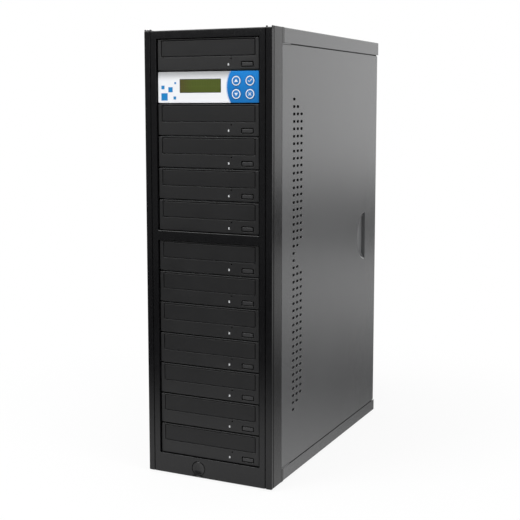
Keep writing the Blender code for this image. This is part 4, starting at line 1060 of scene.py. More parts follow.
def tray_shape(boxes, sizes):
    """A door, and behind it a plate with two disc wells and the pickup's slot. The wells are rings
    about the spindle: each ray's radius is the ring's, or the slot's edge where that lies further out."""
    shape = Shape()
    low, high = boxes["tray"]
    outline = around(low, high, -DOOR_INSET, DOOR_CORNER - DOOR_GAP)
    plate(shape, outline, low[1], DOOR_THICKNESS, sizes.door_edge)
    side = high[0] - TRAY_SIDE_INSET
    front = low[1] + DOOR_THICKNESS - LAP
    middle = low[1] + DOOR_THICKNESS + WELL_FRONT_MARGIN + WELL_RADIUS
    foot = low[2] + TRAY_FOOT
    top = foot + TRAY_THICKNESS
    kinks = [math.acos(SLOT_HALF / radius) for radius in (SPINDLE_RADIUS, SMALL_WELL_RADIUS, WELL_RADIUS)]
    edge_turns = [math.atan2(y - middle, side) for y in (front, high[1])]
    marks = [*kinks, *[math.pi - kink for kink in kinks], -kinks[0], kinks[0] - math.pi]
    marks += [edge_turns[0], math.pi - edge_turns[0], edge_turns[1], math.pi - edge_turns[1]]
    even = np.linspace(0, math.tau, 97)[:-1]
    turns = np.unique(np.round(np.concatenate([even, np.mod(marks, math.tau)]), 9))
    across, back = np.cos(turns), np.sin(turns)
    with np.errstate(divide="ignore"):
        slot = SLOT_HALF / np.abs(across)
        to_side = side / np.abs(across)
        to_end = np.where(back > 0, (high[1] - middle) / np.abs(back), (middle - front) / np.abs(back))
    slot = np.minimum(slot, np.where(back > 0, WELL_RADIUS, SPINDLE_RADIUS))
    border = np.minimum(to_side, to_end)
    bevel = WELL_EDGE
    rings = [
        (border, foot),
        (border, top - bevel),
        (border - bevel, top),
        (WELL_RADIUS + bevel, top),
        (WELL_RADIUS, top - bevel),
        (WELL_RADIUS, top - WELL_DEPTH),
        (np.maximum(SMALL_WELL_RADIUS + bevel / 2, slot), top - WELL_DEPTH),
        (np.maximum(SMALL_WELL_RADIUS, slot), top - WELL_DEPTH - bevel / 2),
        (np.maximum(SMALL_WELL_RADIUS, slot), top - WELL_DEPTH - SMALL_WELL_DEPTH),
        (slot, top - WELL_DEPTH - SMALL_WELL_DEPTH),
        (slot, foot),
        (border, foot),
    ]
    loops = [facing_up(radius * across, middle + radius * back, z) for radius, z in rings]
    shape.loft(np.stack(loops), cap_start=False, cap_end=False)
    return shape


def panel_shape(sizes):
    """The control panel's face plate, with a bevelled window and four round key holes."""
    shape = Shape()
    low, high = corners("control_panel")
    foot = low[2]
    window = rounded((WINDOW_LEFT, foot + WINDOW_FOOT), (WINDOW_RIGHT, foot + WINDOW_HEAD), WINDOW_CORNER)
    holes = [hole(window, WINDOW_RIM, PANEL_THICKNESS, True)]
    for name in KEYS:
        key_low, key_high = corners(name)
        middle = (key_low + key_high) / 2
        radius = (key_high[2] - key_low[2]) / 2 + DOOR_GAP
        holes.append(hole(disc((middle[0], middle[2]), radius), DOOR_GAP, PANEL_THICKNESS, True))
    outline = around(low, high, -FACE_GAP, FACE_CORNER)
    plate(shape, outline, low[1], PANEL_THICKNESS, sizes.panel_edge, holes)
    wing_front = low[1] + PANEL_THICKNESS - LAP
    wing_foot, wing_head = low[2] + PANEL_WING_INSET, high[2] - PANEL_WING_INSET
    for side in (-1, 1):
        ends = sorted((side * (high[0] - HOUSING_INSET), side * (high[0] - HOUSING_INSET - HOUSING_WALL)))
        block(shape, (ends[0], wing_front, wing_foot), (ends[1], high[1], wing_head))
    return shape


def pane_shape():
    """The display's front pane: a thin slab in the window, a little behind the panel's face."""
    shape = Shape()
    low = corners("control_panel")[0]
    front = low[1] + PANE_DEPTH
    left, foot = WINDOW_LEFT + PANE_GAP, low[2] + WINDOW_FOOT + PANE_GAP
    right, head = WINDOW_RIGHT - PANE_GAP, low[2] + WINDOW_HEAD - PANE_GAP
    plate(shape, rounded((left, foot), (right, head), WINDOW_CORNER), front, PANE_THICKNESS, DOOR_GAP)
    return shape


def gasket_shape():
    """The dark gasket between the pane and the window's edge: a frame that lies deeper than the pane."""
    shape = Shape()
    low = corners("control_panel")[0]
    foot, head = low[2] + WINDOW_FOOT, low[2] + WINDOW_HEAD
    outer = rounded((WINDOW_LEFT, foot), (WINDOW_RIGHT, head), WINDOW_CORNER)
    levels = [(0, 0), (0, PANE_THICKNESS)]
    inner_low = (WINDOW_LEFT + PANE_GAP, foot + PANE_GAP)
    inner = rounded(inner_low, (WINDOW_RIGHT - PANE_GAP, head - PANE_GAP), WINDOW_CORNER)
    plate(shape, outer, low[1] + GASKET_DEPTH, PANE_THICKNESS, 0, [hole(inner, 0, 0, True, levels)])
    return shape


def key_shape(name):
    """A round key: a slightly crowned face, a rounded rim and a plain stem."""
    shape = Shape()
    low, high = corners(name)
    middle = (low + high) / 2
    radius = (high[2] - low[2]) / 2
    front = low[1]
    shares = np.linspace(0, 1, 6)
    crown = np.stack([shares * (radius - KEY_EDGE), front + KEY_CROWN * shares**2], axis=1)
    rim = quarter(KEY_EDGE)
    edge = np.stack([radius - rim[:, 0], front + KEY_CROWN + rim[:, 1]], axis=1)
    stem = [(radius, high[1]), (0, high[1])]
    turned(shape, np.concatenate([crown, edge, stem]), (middle[0], middle[2]))
    return shape


def sign_outlines(name):
    """Flat signs on the keys, as convex outlines about the key's middle."""
    if name in ("key_up", "key_down"):
        way = 1 if name == "key_up" else -1
        foot = -ARROW_FOOT * way
        arrow = [(-ARROW_HALF_WIDTH, foot), (ARROW_HALF_WIDTH, foot), (0, ARROW_TIP * way)]
        return [np.array(arrow)[::way]]
    bars = []
    for line in TICK_LINES if name == "key_enter" else CROSS_LINES:
        start, end = np.array(line)
        along = (end - start) / np.linalg.norm(end - start)
        out = np.array([-along[1], along[0]]) * SIGN_LINE_HALF
        bars.append(np.array([start + out, start - out, end - out, end + out]))
    return bars


def key_mark_shape(name):
    """A raised ring near the key's rim, and a raised sign at its middle."""
    shape = Shape()
    low, high = corners(name)
    middle = (low + high) / 2
    radius = (high[2] - low[2]) / 2
    front = low[1]
    outer = radius - KEY_RING_INSET
    inner = outer - KEY_RING
    stand = front + PRINT_STAND
    sunk = front + KEY_EDGE
    ring = [(inner, sunk), (inner, stand), (outer, stand + 2 * PRINT_STAND), (outer, sunk), (inner, sunk)]
    turned(shape, ring, (middle[0], middle[2]))
    for outline in sign_outlines(name):
        points = outline + np.array([middle[0], middle[2]])
        loops = [facing_front(*points.T, depth) for depth in (front - PRINT_STAND, front + KEY_CROWN)]
        shape.loft(np.stack(loops))
    return shape


def display_shape():
    """The display module: a glass on its board."""
    shape = Shape()
    low, high = corners("lcd_module")
    glass_rear = high[1] - MODULE_BOARD + LAP
    inset = np.array([MODULE_SIDE, 0, MODULE_EDGE])
    block(shape, low + inset, (high[0] - MODULE_SIDE, glass_rear, high[2] - MODULE_EDGE), LENS_EDGE)
    block(shape, (low[0], high[1] - MODULE_BOARD, low[2]), high, LAP)
    return shape


def power_button_shape():
    """A round button: a dished face, depth times (1 - share squared), a rounded rim and a stem."""
    shape = Shape()
    low, high = corners("power_button")
    middle = (low + high) / 2
    radius = (high[2] - low[2]) / 2
    front = low[1]
    shares = np.linspace(0, 1, 9)
    dish = np.stack([shares * (radius - BUTTON_EDGE), front + LAP + BUTTON_DISH * (1 - shares**2)], axis=1)
    rim = quarter(BUTTON_EDGE, 5)
    edge = np.stack([radius - rim[:, 0], front + LAP + rim[:, 1]], axis=1)
    turned(shape, np.concatenate([dish, edge, [(radius, high[1]), (0, high[1])]]), (middle[0], middle[2]), 14)
    return shape


def folded_shape(head, band_end, start, end):
    """A folded sheet: a flat between two bends, and a band beyond each, carried from front to rear.
    Each bend is a quarter circle, and the inner side is the outer one drawn in by the sheet."""
    shape = Shape()
    way = 1 if band_end < head else -1
    turns = np.linspace(0, math.pi / 2, CORNER_STEPS + 1)

    def profile(inset):
        reach = BEND - inset
        across = HALF_WIDTH - BEND + reach * np.cos(turns)
        right = np.stack([across, head - way * BEND + way * reach * np.sin(turns)], axis=1)
        right = np.concatenate([[(HALF_WIDTH - inset, band_end)], right])
        left = right[::-1] * np.array([-1, 1])
        return np.concatenate([right, left])

    loop = np.concatenate([profile(0), profile(SHEET)[::-1]])
    shape.loft(np.stack([facing_front(*loop.T, y) for y in (start, end)]))
    return shape


def vent_places():
    """Places of the vent slots: rows up the panel in two groups, whose ends taper to one slot."""
    rows = np.arange(VENT_GROUPS * VENT_ROWS)
    in_group = rows % VENT_ROWS
    from_end = np.minimum(in_group, VENT_ROWS - 1 - in_group)
    row, column = np.nonzero(np.arange(VENT_COLUMNS) <= from_end[:, None])
    y = VENT_FIRST_Y + column * VENT_COLUMN_PITCH
    z = VENT_LOWEST_Z + rows[row] * (VENT_TOP_Z - VENT_LOWEST_Z) / (len(rows) - 1)
    return np.stack([CASE_FRONT + y, CASE_FOOT + z], axis=1)


def pull_rings(grow):
    """The finger pull as rings from its rim to the middle of its straight edge. A ring's arc is half an
    ellipse times its share, and its straight edge is that ellipse's axis."""
    turns = np.linspace(math.pi / 2, -math.pi / 2, PULL_ARC_STEPS + 1)
    across, up = PULL_REACH + 2 * grow, PULL_HEIGHT / 2 + grow
    arc = np.stack([-across * np.cos(turns), up * np.sin(turns)], axis=1)
    middle = np.array([CASE_FRONT + PULL_WALL_Y + grow, CASE_FOOT + PULL_Z])
    slope = np.linspace(1, PULL_FLOOR_SHARE, PULL_SLOPE_STEPS + 1)
    floor = np.linspace(PULL_FLOOR_SHARE, 0, PULL_FLOOR_STEPS + 1)[1:]
    shares = np.concatenate([slope, floor])
    return shares, middle + shares[:, None, None] * arc


def add_pull(shape, place, grow, level):
    """One skin of the finger pull. Its depth goes smoothly from the rim to the floor, the cube of the
    way down taken from three times its square, and an upright wall closes its straight edge."""
    shares, rings = pull_rings(grow)
    down = np.clip((1 - shares) / (1 - PULL_FLOOR_SHARE), 0, 1)
    depths = level + PULL_DEPTH * (3 * down**2 - 2 * down**3)
    floor = np.stack([place(*ring.T, depth) for ring, depth in zip(rings, depths)])
    shape.grid(floor)
    for end, way in ((0, 1), (-1, -1)):
        line = rings[:, end]
        shape.grid(np.stack([place(*line.T, level), floor[:, end]])[::way])
    return np.concatenate([rings[0], rings[1:, -1], rings[1:-1, 0][::-1]])


def side_panel_shape(node, side, sizes):
    """A side panel: the pierced sheet, the scoop of the finger pull, the rear flange, and a tab at the
    front of its head and of its foot."""
    shape = Shape()
    low, high = corners(node)
    outer = high[0] if side > 0 else low[0]
    sheet_foot = low[2] + LIP_HEIGHT + SEAM_EXTRA
    sheet_head = high[2] - LIP_HEIGHT - SEAM_EXTRA
    half_length = VENT_LENGTH / 2
    half_height = VENT_HEIGHT / 2
    edge = sizes.sheet_edge

    def outward(u, v, w):
        return facing_side(u, v, outer - side * w)

    outline = rounded((low[1], sheet_foot), (high[1], sheet_head), SHEET_CORNER)
    levels = [(-edge, 0), (0, edge), (0, SHEET)]
    shape.loft(np.stack([outward(*outline(grow).T, depth) for grow, depth in levels]), False, False)
    front_lines = [outline(-edge), add_pull(shape, outward, 0, 0)]
    rear_lines = [outline(0), add_pull(shape, outward, SHEET, SHEET)]
    for y, z in vent_places():
        slot_low = (y - half_length, z - half_height)
        slot = rounded(slot_low, (y + half_length, z + half_height), half_height - MERGE, 3)
        walls = [outward(*slot(grow).T, depth) for grow, depth in SHEET_LEVELS]
        shape.loft(np.stack(walls), False, False)
        front_lines.append(slot(SHEET_RIM))
        rear_lines.append(slot(0))
    shape.flat(front_lines, outward, 0)
    shape.flat(rear_lines, outward, SHEET)
    rear = high[1]
    flange = sorted((outer - side * SHEET, outer - side * FLANGE_WIDTH))
    block(shape, (flange[0], rear - SHEET, sheet_foot), (flange[1], rear, sheet_head), edge)
    tab = sorted((outer, outer - side * SHEET))
    for start, end in [
        (sheet_foot - TAB_HEIGHT, sheet_foot + SHEET),
        (sheet_head - SHEET, sheet_head + TAB_HEIGHT),
    ]:
        block(shape, (tab[0], low[1], start), (tab[1], CASE_FRONT + TAB_REAR, end), edge)
    return shape


def panel_hooks_shape(node, side):
    """The hooked strips inside a side panel's head and foot: a lip behind the case's bent edge, and the
    web that joins it to the sheet."""
    shape = Shape()
    low, high = corners(node)
    outer = high[0] if side > 0 else low[0]
    sheet_foot = low[2] + LIP_HEIGHT
    sheet_head = high[2] - LIP_HEIGHT
    lip_end = outer - side * (2 * SHEET + LIP_GAP)
    lip = sorted((outer - side * (SHEET + LIP_GAP), lip_end))
    web = sorted((outer - side * (SHEET - LAP / 2), lip_end))
    front, rear = CASE_FRONT + LIP_FRONT, CASE_FRONT + LIP_REAR
    for start, end, web_start in [
        (low[2], sheet_foot + 2 * SHEET, sheet_foot + SHEET),
        (sheet_head - 2 * SHEET, high[2], sheet_head - 2 * SHEET),
    ]:
        block(shape, (lip[0], front, start), (lip[1], rear, end), SHEET_RIM)
        block(shape, (web[0], front, web_start), (web[1], rear, web_start + SHEET), SHEET_RIM)
    return shape


def grille_holes(x, z, radius, hub):
    """Upright slots with round ends across a circle, cut off at the hub."""
    half = GRILLE_SLOT_WIDTH / 2
    count = int(radius / GRILLE_SLOT_PITCH)
    holes = []
    for offset in np.arange(-count, count + 1) * GRILLE_SLOT_PITCH:
        edge = abs(offset) + half
        if edge >= radius:
            continue
        reach = math.sqrt(radius**2 - edge**2)
        near = max(abs(offset) - half, 0)
        spans = [(-reach, reach)]
        if near < hub:
            stop = math.sqrt(hub**2 - near**2)
            spans = [(-reach, -stop), (stop, reach)]
        for start, end in spans:
            slot = rounded((x + offset - half, z + start), (x + offset + half, z + end), half - MERGE, 4)
            holes.append(hole(slot, 0, 0, True, SHEET_LEVELS))
    return holes


def chassis_shape(sizes):
    """The chassis: the folded base, and the rear wall with the fan's grille and the power supply's
    window."""
    low, high = corners("chassis")
    start = CASE_HIGH[1] + TONGUE_LENGTH + BAND_SETBACK
    shape = folded_shape(low[2], CASE_FOOT + CHASSIS_BAND, start, high[1])
    wall = CASE_FRONT + REAR_WALL
    half = HALF_WIDTH - SHEET - LIP_GAP
    outline = rounded((-half, low[2] + SHEET - LAP), (half, high[2]), SHEET_CORNER)
    holes = grille_holes(0, CASE_FOOT + FAN_Z, FAN_RADIUS, FAN_HUB_RADIUS)
    window_low = (-SUPPLY_WINDOW_HALF, CASE_FOOT + SUPPLY_WINDOW_FOOT)
    window = rounded(window_low, (SUPPLY_WINDOW_HALF, CASE_FOOT + SUPPLY_WINDOW_HEAD), BEND)
    holes.append(hole(window, 0, 0, True, SHEET_LEVELS))
    plate(shape, outline, wall, SHEET, sizes.sheet_edge, holes, way=-1)
    return shape


def cover_shape(sizes):
    """The top cover: the folded top, and the lip down its rear."""
    low, high = corners("top_cover")
    start = CASE_HIGH[1] + TONGUE_LENGTH + BAND_SETBACK
    shape = folded_shape(high[2], low[2], start, high[1])
    lip = (-HALF_WIDTH + BEND, high[1] - SHEET, high[2] - COVER_LIP)
    block(shape, lip, (HALF_WIDTH - BEND, high[1], high[2] - SHEET / 2), sizes.sheet_edge)
    return shape


def supply_shape():
    """The power supply: a folded box whose rear has the fan's grille, the inlet and the rocker's hole."""
    shape = Shape()
    low, high = corners("power_supply")
    holes = grille_holes(PSU_FAN_X, (low[2] + high[2]) / 2, PSU_FAN_RADIUS, PSU_HUB_RADIUS)
    for outline in (inlet_mouth(LIP_GAP * 3), rocker_mouth(LIP_GAP * 2)):
        holes.append(hole(outline, 0, 0, True, SHEET_LEVELS))
    outline = rounded((low[0], low[2]), (high[0], high[2]), BEND)
    plate(shape, outline, high[1], SHEET, SHEET_RIM, holes, way=-1)
    levels = [(0, low[1]), (0, high[1] - SHEET), (-SHEET, high[1] - SHEET), (-SHEET, low[1] + SHEET)]
    shape.loft(np.stack([facing_front(*outline(grow).T, y) for grow, y in levels]))
    return shape


def inlet_mouth(extra=0):
    """The outline of the inlet's mouth, grown by an extra."""
    z = corners("power_supply")[0][2] + INLET_LIFT
    half = np.array([INLET_WIDTH / 2 + extra, 0, INLET_HEIGHT / 2 + extra])
    middle = np.array([INLET_X, 0, z])
    return around(middle - half, middle + half, 0, INLET_CORNER + extra)


def rocker_mouth(extra=0):
    """The outline of the rocker's hole, grown by an extra."""
    z = corners("power_supply")[0][2] + ROCKER_LIFT
    half = np.array([ROCKER_WIDTH / 2 + extra, 0, ROCKER_RADIUS + extra])
    middle = np.array([INLET_X, 0, z])
    return around(middle - half, middle + half, 0, LIP_GAP + extra)


def inlet_shape():
    """The mains inlet: a flange round a rounded mouth, a cup behind it with three flat pins, and the
    rocker's frame below."""
    shape = Shape()
    rear = corners("power_supply")[1][1]
    front = rear + COLLAR
    for mouth, flange in [
        (inlet_mouth(), inlet_mouth(INLET_FLANGE)),
        (rocker_mouth(LIP_GAP), rocker_mouth(ROCKER_FRAME)),
    ]:
        levels = [(LIP_GAP, 0), (0, LIP_GAP), (0, COLLAR)]
        plate(shape, flange, front, COLLAR, LIP_GAP, [hole(mouth, 0, 0, True, levels)], way=-1)
    mouth = inlet_mouth()
    floor = rear - INLET_DEPTH + SHEET
    cup = [(LIP_GAP * 2, rear), (LIP_GAP * 2, floor - SHEET)]
    shape.loft(np.stack([facing_front(*mouth(grow).T, y) for grow, y in cup]), False, True)
    shape.loft(np.stack([facing_front(*mouth(0).T, y) for y in (rear, floor)]), False, True)
    return shape


def pins_shape():
    """The inlet's three flat pins, the middle one set higher."""
    shape = Shape()
    low, high = corners("power_supply")
    floor = high[1] - INLET_DEPTH + SHEET
    for place, lift in [(-1, -PIN_DROP), (0, PIN_RISE), (1, -PIN_DROP)]:
        x = INLET_X + place * PIN_SPACING
        z = low[2] + INLET_LIFT + lift
        pin_low = (x - PIN_HALF_WIDTH, floor, z - PIN_HALF_HEIGHT)
        block(shape, pin_low, (x + PIN_HALF_WIDTH, floor + PIN_LENGTH, z + PIN_HALF_HEIGHT), LIP_GAP)
    return shape


def rocker_marks_shape():
    """A bar and a ring printed on the two halves of the rocker's face."""
    shape = Shape()
    low, high = corners("psu_rocker")
    middle = (low[2] + high[2]) / 2
    reach = (high[2] - low[2]) / 2 * MARK_PLACE_SHARE
    outer, inner = high[1] - MARK_SINK, high[1] - MARK_SINK - MARK_THICKNESS
    bar_low = (INLET_X - MARK_LINE / 2, inner, middle + reach - MARK_HALF)
    block(shape, bar_low, (INLET_X + MARK_LINE / 2, outer, middle + reach + MARK_HALF), PRINT_STAND)
    small = MARK_HALF - MARK_LINE
    ring = [(small, inner), (small, outer), (MARK_HALF, outer), (MARK_HALF, inner), (small, inner)]
    turned(shape, ring, (INLET_X, middle - reach), 6)
    return shape


def screw(shape, x, z, seat):
    """A pan head screw that faces the rear: a quarter ellipse over a short rim, turned about its axis."""
    turns = np.linspace(0, math.pi / 2, 5)
    dome = seat + SCREW_HEIGHT * (SCREW_RIM_SHARE + (1 - SCREW_RIM_SHARE) * np.cos(turns))
    profile = np.stack([SCREW_RADIUS * np.sin(turns), dome], axis=1)
    turned(shape, np.concatenate([profile, [(SCREW_RADIUS, seat), (0, seat)]]), (x, z), 5)
    half, arm = SCREW_SLOT / 2, SCREW_RADIUS * SCREW_SLOT_SHARE
    top = seat + SCREW_HEIGHT + PRINT_STAND
    block(shape, (x - arm, seat, z - half), (x + arm, top, z + half), PRINT_STAND)
    block(shape, (x - half, seat, z - arm), (x + half, top, z + arm), PRINT_STAND)


def rear_screws_shape():
    """The pan head screws of the fan, of the power supply and of the cover."""
    shape = Shape()
    wall = CASE_FRONT + REAR_WALL
    supply_low, supply_high = corners("power_supply")
    for side in (-1, 1):
        for way in (-1, 1):
            screw(shape, side * FAN_SCREW_REACH, CASE_FOOT + FAN_Z + way * FAN_SCREW_REACH, wall)
        for z in (supply_low[2] + SUPPLY_SCREW_LIFT, supply_high[2] + SUPPLY_SCREW_RISE):
            screw(shape, side * SUPPLY_SCREW_REACH, z, wall)
    for x in (-COVER_SCREW_REACH, 0, COVER_SCREW_REACH):
        screw(shape, x, CASE_TOP - COVER_SCREW_DROP, wall)
    return shape


def thumb_screws_shape(side):
    """Two knurled thumb screws on a side panel's flange: a cylinder whose radius ripples round it."""
    shape = Shape()
    low, high = corners("right_side_panel")
    turns = np.arange(KNURLS) * math.tau / KNURLS
    ripple = 1 - KNURL_SHARE * (np.arange(KNURLS) % 3 == 0)
    x = side * (HALF_WIDTH - FLANGE_WIDTH / 2 - THUMB_INSET)
    radius, rim, height = THUMB_RADIUS, THUMB_EDGE, THUMB_HEIGHT
    profile = [(0, 0), (radius, 0), (radius, height - rim), (radius - rim, height), (0, height)]
    for z in (low[2] + THUMB_FROM_END, high[2] - THUMB_FROM_END):
        loops = []
        for out, depth in profile:
            reach = out * ripple
            loops.append(facing_front(x + reach * np.cos(turns), z + reach * np.sin(turns), high[1] + depth))
        shape.loft(np.stack(loops), False, False)
    return shape


def foot_shape(node):
    """A rubber foot: a disc with a rounded edge."""
    shape = Shape()
    low, high = corners(node)
    middle = (low + high) / 2
    radius = (high[0] - low[0]) / 2
    rim = quarter(FOOT_EDGE)
    edge = np.stack([radius - rim[:, 0], low[2] + rim[:, 1]], axis=1)
    profile = np.concatenate([[(0, low[2])], edge, [(radius, high[2]), (0, high[2])]])
    turned(shape, profile, (middle[0], middle[1]), 8, facing_up)
    return shape


def fan_frame_shape():
    """The fan's square frame with its round duct, the struts and the disc that carries the motor."""
    shape = Shape()
    low, high = corners("case_fan_frame")
    middle = (low + high) / 2
    centre = (middle[0], middle[2])
    outline = rounded((low[0], low[2]), (high[0], high[2]), FAN_CORNER)
    depth = high[1] - low[1]
    levels = [(FAN_EDGE, 0), (0, FAN_EDGE), (0, depth)]
    duct = hole(disc(centre, FAN_RADIUS, 16), 0, 0, True, levels)
    plate(shape, outline, low[1], depth, FAN_EDGE, [duct])
    carrier = high[1] - MOTOR_PLATE
    hub, rear = FAN_HUB_RADIUS, high[1]
    turned(shape, [(0, carrier), (hub, carrier), (hub, rear), (0, rear)], centre, 12)
    start, end = FAN_HUB_RADIUS - STRUT_LAP, FAN_RADIUS + STRUT_LAP
    strut = np.array([(start, -STRUT_HALF), (end, -STRUT_HALF), (end, STRUT_HALF), (start, STRUT_HALF)])
    depths = (high[1] - STRUT_FRONT, high[1] - STRUT_REAR)
    for turn in (np.arange(4) + 0.5) * math.pi / 2:
        spin = np.array([[math.cos(turn), math.sin(turn)], [-math.sin(turn), math.cos(turn)]])
        points = strut @ spin + np.array(centre)
        shape.loft(np.stack([facing_front(*points.T, y) for y in depths]))
    return shape


def rotor_shape(node, hub):
    """A fan rotor: a hub turned about its axis, and swept blades. Along the chord a blade's point goes
    deeper as its angle falls. The angle is bowed by the sine of half a turn times the chord's share,
    and grows with the square of the radius."""
    shape = Shape()
    low, high = corners(node)
    middle = (low + high) / 2
    centre = np.array((middle[0], middle[2]))
    tip = (high[2] - low[2]) / 2
    front, rear = low[1], high[1]
    rim = quarter(HUB_EDGE)
    hub_front = front + HUB_INSET
    edge = np.stack([hub - rim[:, 0], hub_front + rim[:, 1]], axis=1)
    profile = np.concatenate([[(0, hub_front)], edge, [(hub, rear), (0, rear)]])
    turned(shape, profile, centre, 12)
    reach = np.linspace(hub - BLADE_ROOT, tip, BLADE_STEPS)[:, None]
    chord = np.linspace(0, 1, BLADE_STEPS)
    both = np.concatenate([chord, chord[::-1]])
    face = np.repeat([-0.5, 0.5], BLADE_STEPS)
    depth = front + BLADE_MARGIN + (rear - front - 2 * BLADE_MARGIN) * both + BLADE_THICKNESS * face
    sweep = BLADE_SWEEP * (0.5 - both) * np.ones_like(reach) + BLADE_BOW * np.sin(math.pi * both)
    sweep = sweep + BLADE_LEAN * (reach / tip) ** 2
    for index in range(BLADES):
        turn = sweep + index * math.tau / BLADES
        across = centre[0] + reach * np.cos(turn)
        up = centre[1] + reach * np.sin(turn)
        shape.loft(np.stack([across, np.broadcast_to(depth, across.shape), up], axis=-1))
    return shape


def make_floor(stage):
    """A round pale floor. The camera sees it white, with a faint shadow under the tower. Gloss sees it
    bright near the front of the tower and dim elsewhere, which is tuned to the photograph's tones."""
    turns = np.arange(FLOOR_SIDES) * math.tau / FLOOR_SIDES
    rim = FLOOR_RADIUS * np.stack([np.cos(turns), np.sin(turns), np.zeros(FLOOR_SIDES)], axis=1)
    mesh = bpy.data.meshes.new("floor")
    mesh.from_pydata(rim.tolist(), [], [list(range(FLOOR_SIDES))])
    nodes = Nodes(bpy.data.materials.new("floor"))
    x, y, _ = nodes.axes()
    path = "LightPath"
    seen = nodes.add(path, output="Is Camera Ray").largest(nodes.add(path, output="Is Transmission Ray"))
    gloss = nodes.add(path, output="Is Glossy Ray")
    away = (x**2 + y**2) ** 0.5
    rear_side = (y + x * 0.5).step(-0.5, 0.6)
    front_tone = 1 - away.step(*NEAR_GLOSS)
    rear_tone = away.step(*FAR_GLOSS) * 0.55 + 0.12
    glossy_tone = front_tone * (1 - rear_side) + rear_tone * rear_side
    shadow = away.step(*SHADOW_FADE, stage.floor_shadow, 0)
    soft = nodes.add("BsdfDiffuse", sockets={"Color": (0.8, 0.8, 0.8, 1)})
    white = nodes.add("Emission", sockets={"Color": (1, 1, 1, 1), "Strength": 1})
    seen_floor = nodes.add("MixShader", sockets={0: shadow, 1: white, 2: soft})
    glow = nodes.add("Emission", sockets={"Color": (1, 1, 1, 1), "Strength": glossy_tone})
    lit = nodes.add("MixShader", sockets={0: seen, 1: soft, 2: seen_floor})
    whole = nodes.add("MixShader", sockets={0: gloss, 1: lit, 2: glow})
    nodes.add("OutputMaterial", sockets={"Surface": whole})
    mesh.materials.append(nodes.owner)
    floor = bpy.data.objects.new("floor", mesh)
    bpy.context.scene.collection.objects.link(floor)
    floor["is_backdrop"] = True


def make_world(stage):
    """The studio: white to the camera, soft to matt surfaces, and to gloss bright behind the tower and
    dark behind the camera. Its tones are tuned to the photograph's."""
    scene = bpy.context.scene
    world = bpy.data.worlds.new("studio")
    scene.world = world
    nodes = Nodes(world)
    way = nodes.add("TexCoord", output="Generated")
    x, y, z = [nodes.add("SeparateXYZ", sockets={0: way}, output=axis) for axis in range(3)]
    path = "LightPath"
    seen = nodes.add(path, output="Is Camera Ray").largest(nodes.add(path, output="Is Transmission Ray"))
    gloss = nodes.add(path, output="Is Glossy Ray")
    behind = (y + x * 0.35).step(-0.35, 0.5)
    above = z.step(-0.10, -0.05)
    ceiling = z.step(0.45, 0.85)
    bright = behind * above * (1 - ceiling) * 1.15 + stage.front_dark
    level = gloss * bright + (1 - gloss) * stage.ambient
    level = seen + (1 - seen) * level
    shader = nodes.add("Background", sockets={"Color": (1, 1, 1, 1), "Strength": level})
    nodes.add("OutputWorld", sockets={"Surface": shader})


def make_lamps(stage):
    """Large soft lamps: one to the front and left, one to the right, one overhead."""
    powers = (stage.front_lamp, stage.side_lamp, stage.top_lamp)
    for (name, (place, aim, size)), watts in zip(LAMPS.items(), powers):
        data = bpy.data.lights.new(name, "AREA")
        data.size = size
        data.energy = watts
        lamp = bpy.data.objects.new(name, data)
        lamp.location = place
        lamp.rotation_euler = (Vector(aim) - Vector(place)).to_track_quat("-Z", "Y").to_euler()
        bpy.context.scene.collection.objects.link(lamp)


def make_camera():
    """The camera at the photograph's viewing angle, and the plain view transform."""
    scene = bpy.context.scene
    data = bpy.data.cameras.new("camera")
    data.lens = LENS_MM
    data.shift_y = CAMERA_SHIFT
    camera = bpy.data.objects.new("camera", data)
    camera.location = CAMERA_PLACE
    camera.rotation_euler = (math.pi / 2 - CAMERA_TILT, 0, CAMERA_TURN)
    scene.collection.objects.link(camera)
    scene.camera = camera
    scene.view_settings.view_transform = "Standard"


def paint_node(node, material):
    """Gives a CAD node that stays its finish."""
    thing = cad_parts[node]
    thing.data.materials.clear()
    thing.data.materials.append(material)


def drive_offsets():
    """Each drive's number and the place of the foot of its face."""
    places = [(drive[-2:], corners(drive)[0]) for drive in DRIVES]
    return [(number, (0, low[1], low[2])) for number, low in places]


def black_plastic():
    """The plastic of the fans, the inlet and the rocker."""
    return finish("fan_plastic", moulded_plastic, (0.014, 0.014, 0.014), 0.42, FINE_RELIEF, 0.4)


class TOWER_OT_stage(Operator):
    """Make the floor, the studio's light, the lamps and the camera"""

    bl_idname = "tower.stage"
    bl_label = "Stage"

    def execute(self, context):
        make_floor(context.scene.tower_stage)
        make_world(context.scene.tower_stage)
        make_lamps(context.scene.tower_stage)
        make_camera()
        return {"FINISHED"}


class TOWER_OT_front_frame(Operator):
    """Make the plastic front frame"""

    bl_idname = "tower.front_frame"
    bl_label = "Front frame"

    def execute(self, context):
        gloss = finish("gloss_plastic", gloss_plastic, context.scene.tower_colours.gloss)
        shape = frame_shape(context.scene.tower_sizes)
        make_piece("front_frame", shape, gloss, replaced=["front_bezel"])
        return {"FINISHED"}


class TOWER_OT_power_button(Operator):
    """Make the round power button"""

    bl_idname = "tower.power_button"
    bl_label = "Power button"

    def execute(self, context):
        gloss = finish("button_gloss", gloss_plastic, context.scene.tower_colours.button)
        node = "power_button"
        make_piece("round_power_button", power_button_shape(), gloss, node, [node])
        return {"FINISHED"}


class TOWER_OT_drive_faces(Operator):
    """Make the plastic faces of the twelve drives"""

    bl_idname = "tower.drive_faces"
    bl_label = "Drive faces"

    def execute(self, context):
        base = context.scene.tower_colours.face
        plastic = finish("face_plastic", moulded_plastic, base, 0.46, GRAIN_RELIEF, 0.4)
        shape = face_shape(local_boxes(), context.scene.tower_sizes)
        for number, offset in drive_offsets():
            name = f"drive_face_{number}"
            make_piece(name, shape.moved(offset), plastic, BODY, [f"drive_{number}"])
        return {"FINISHED"}


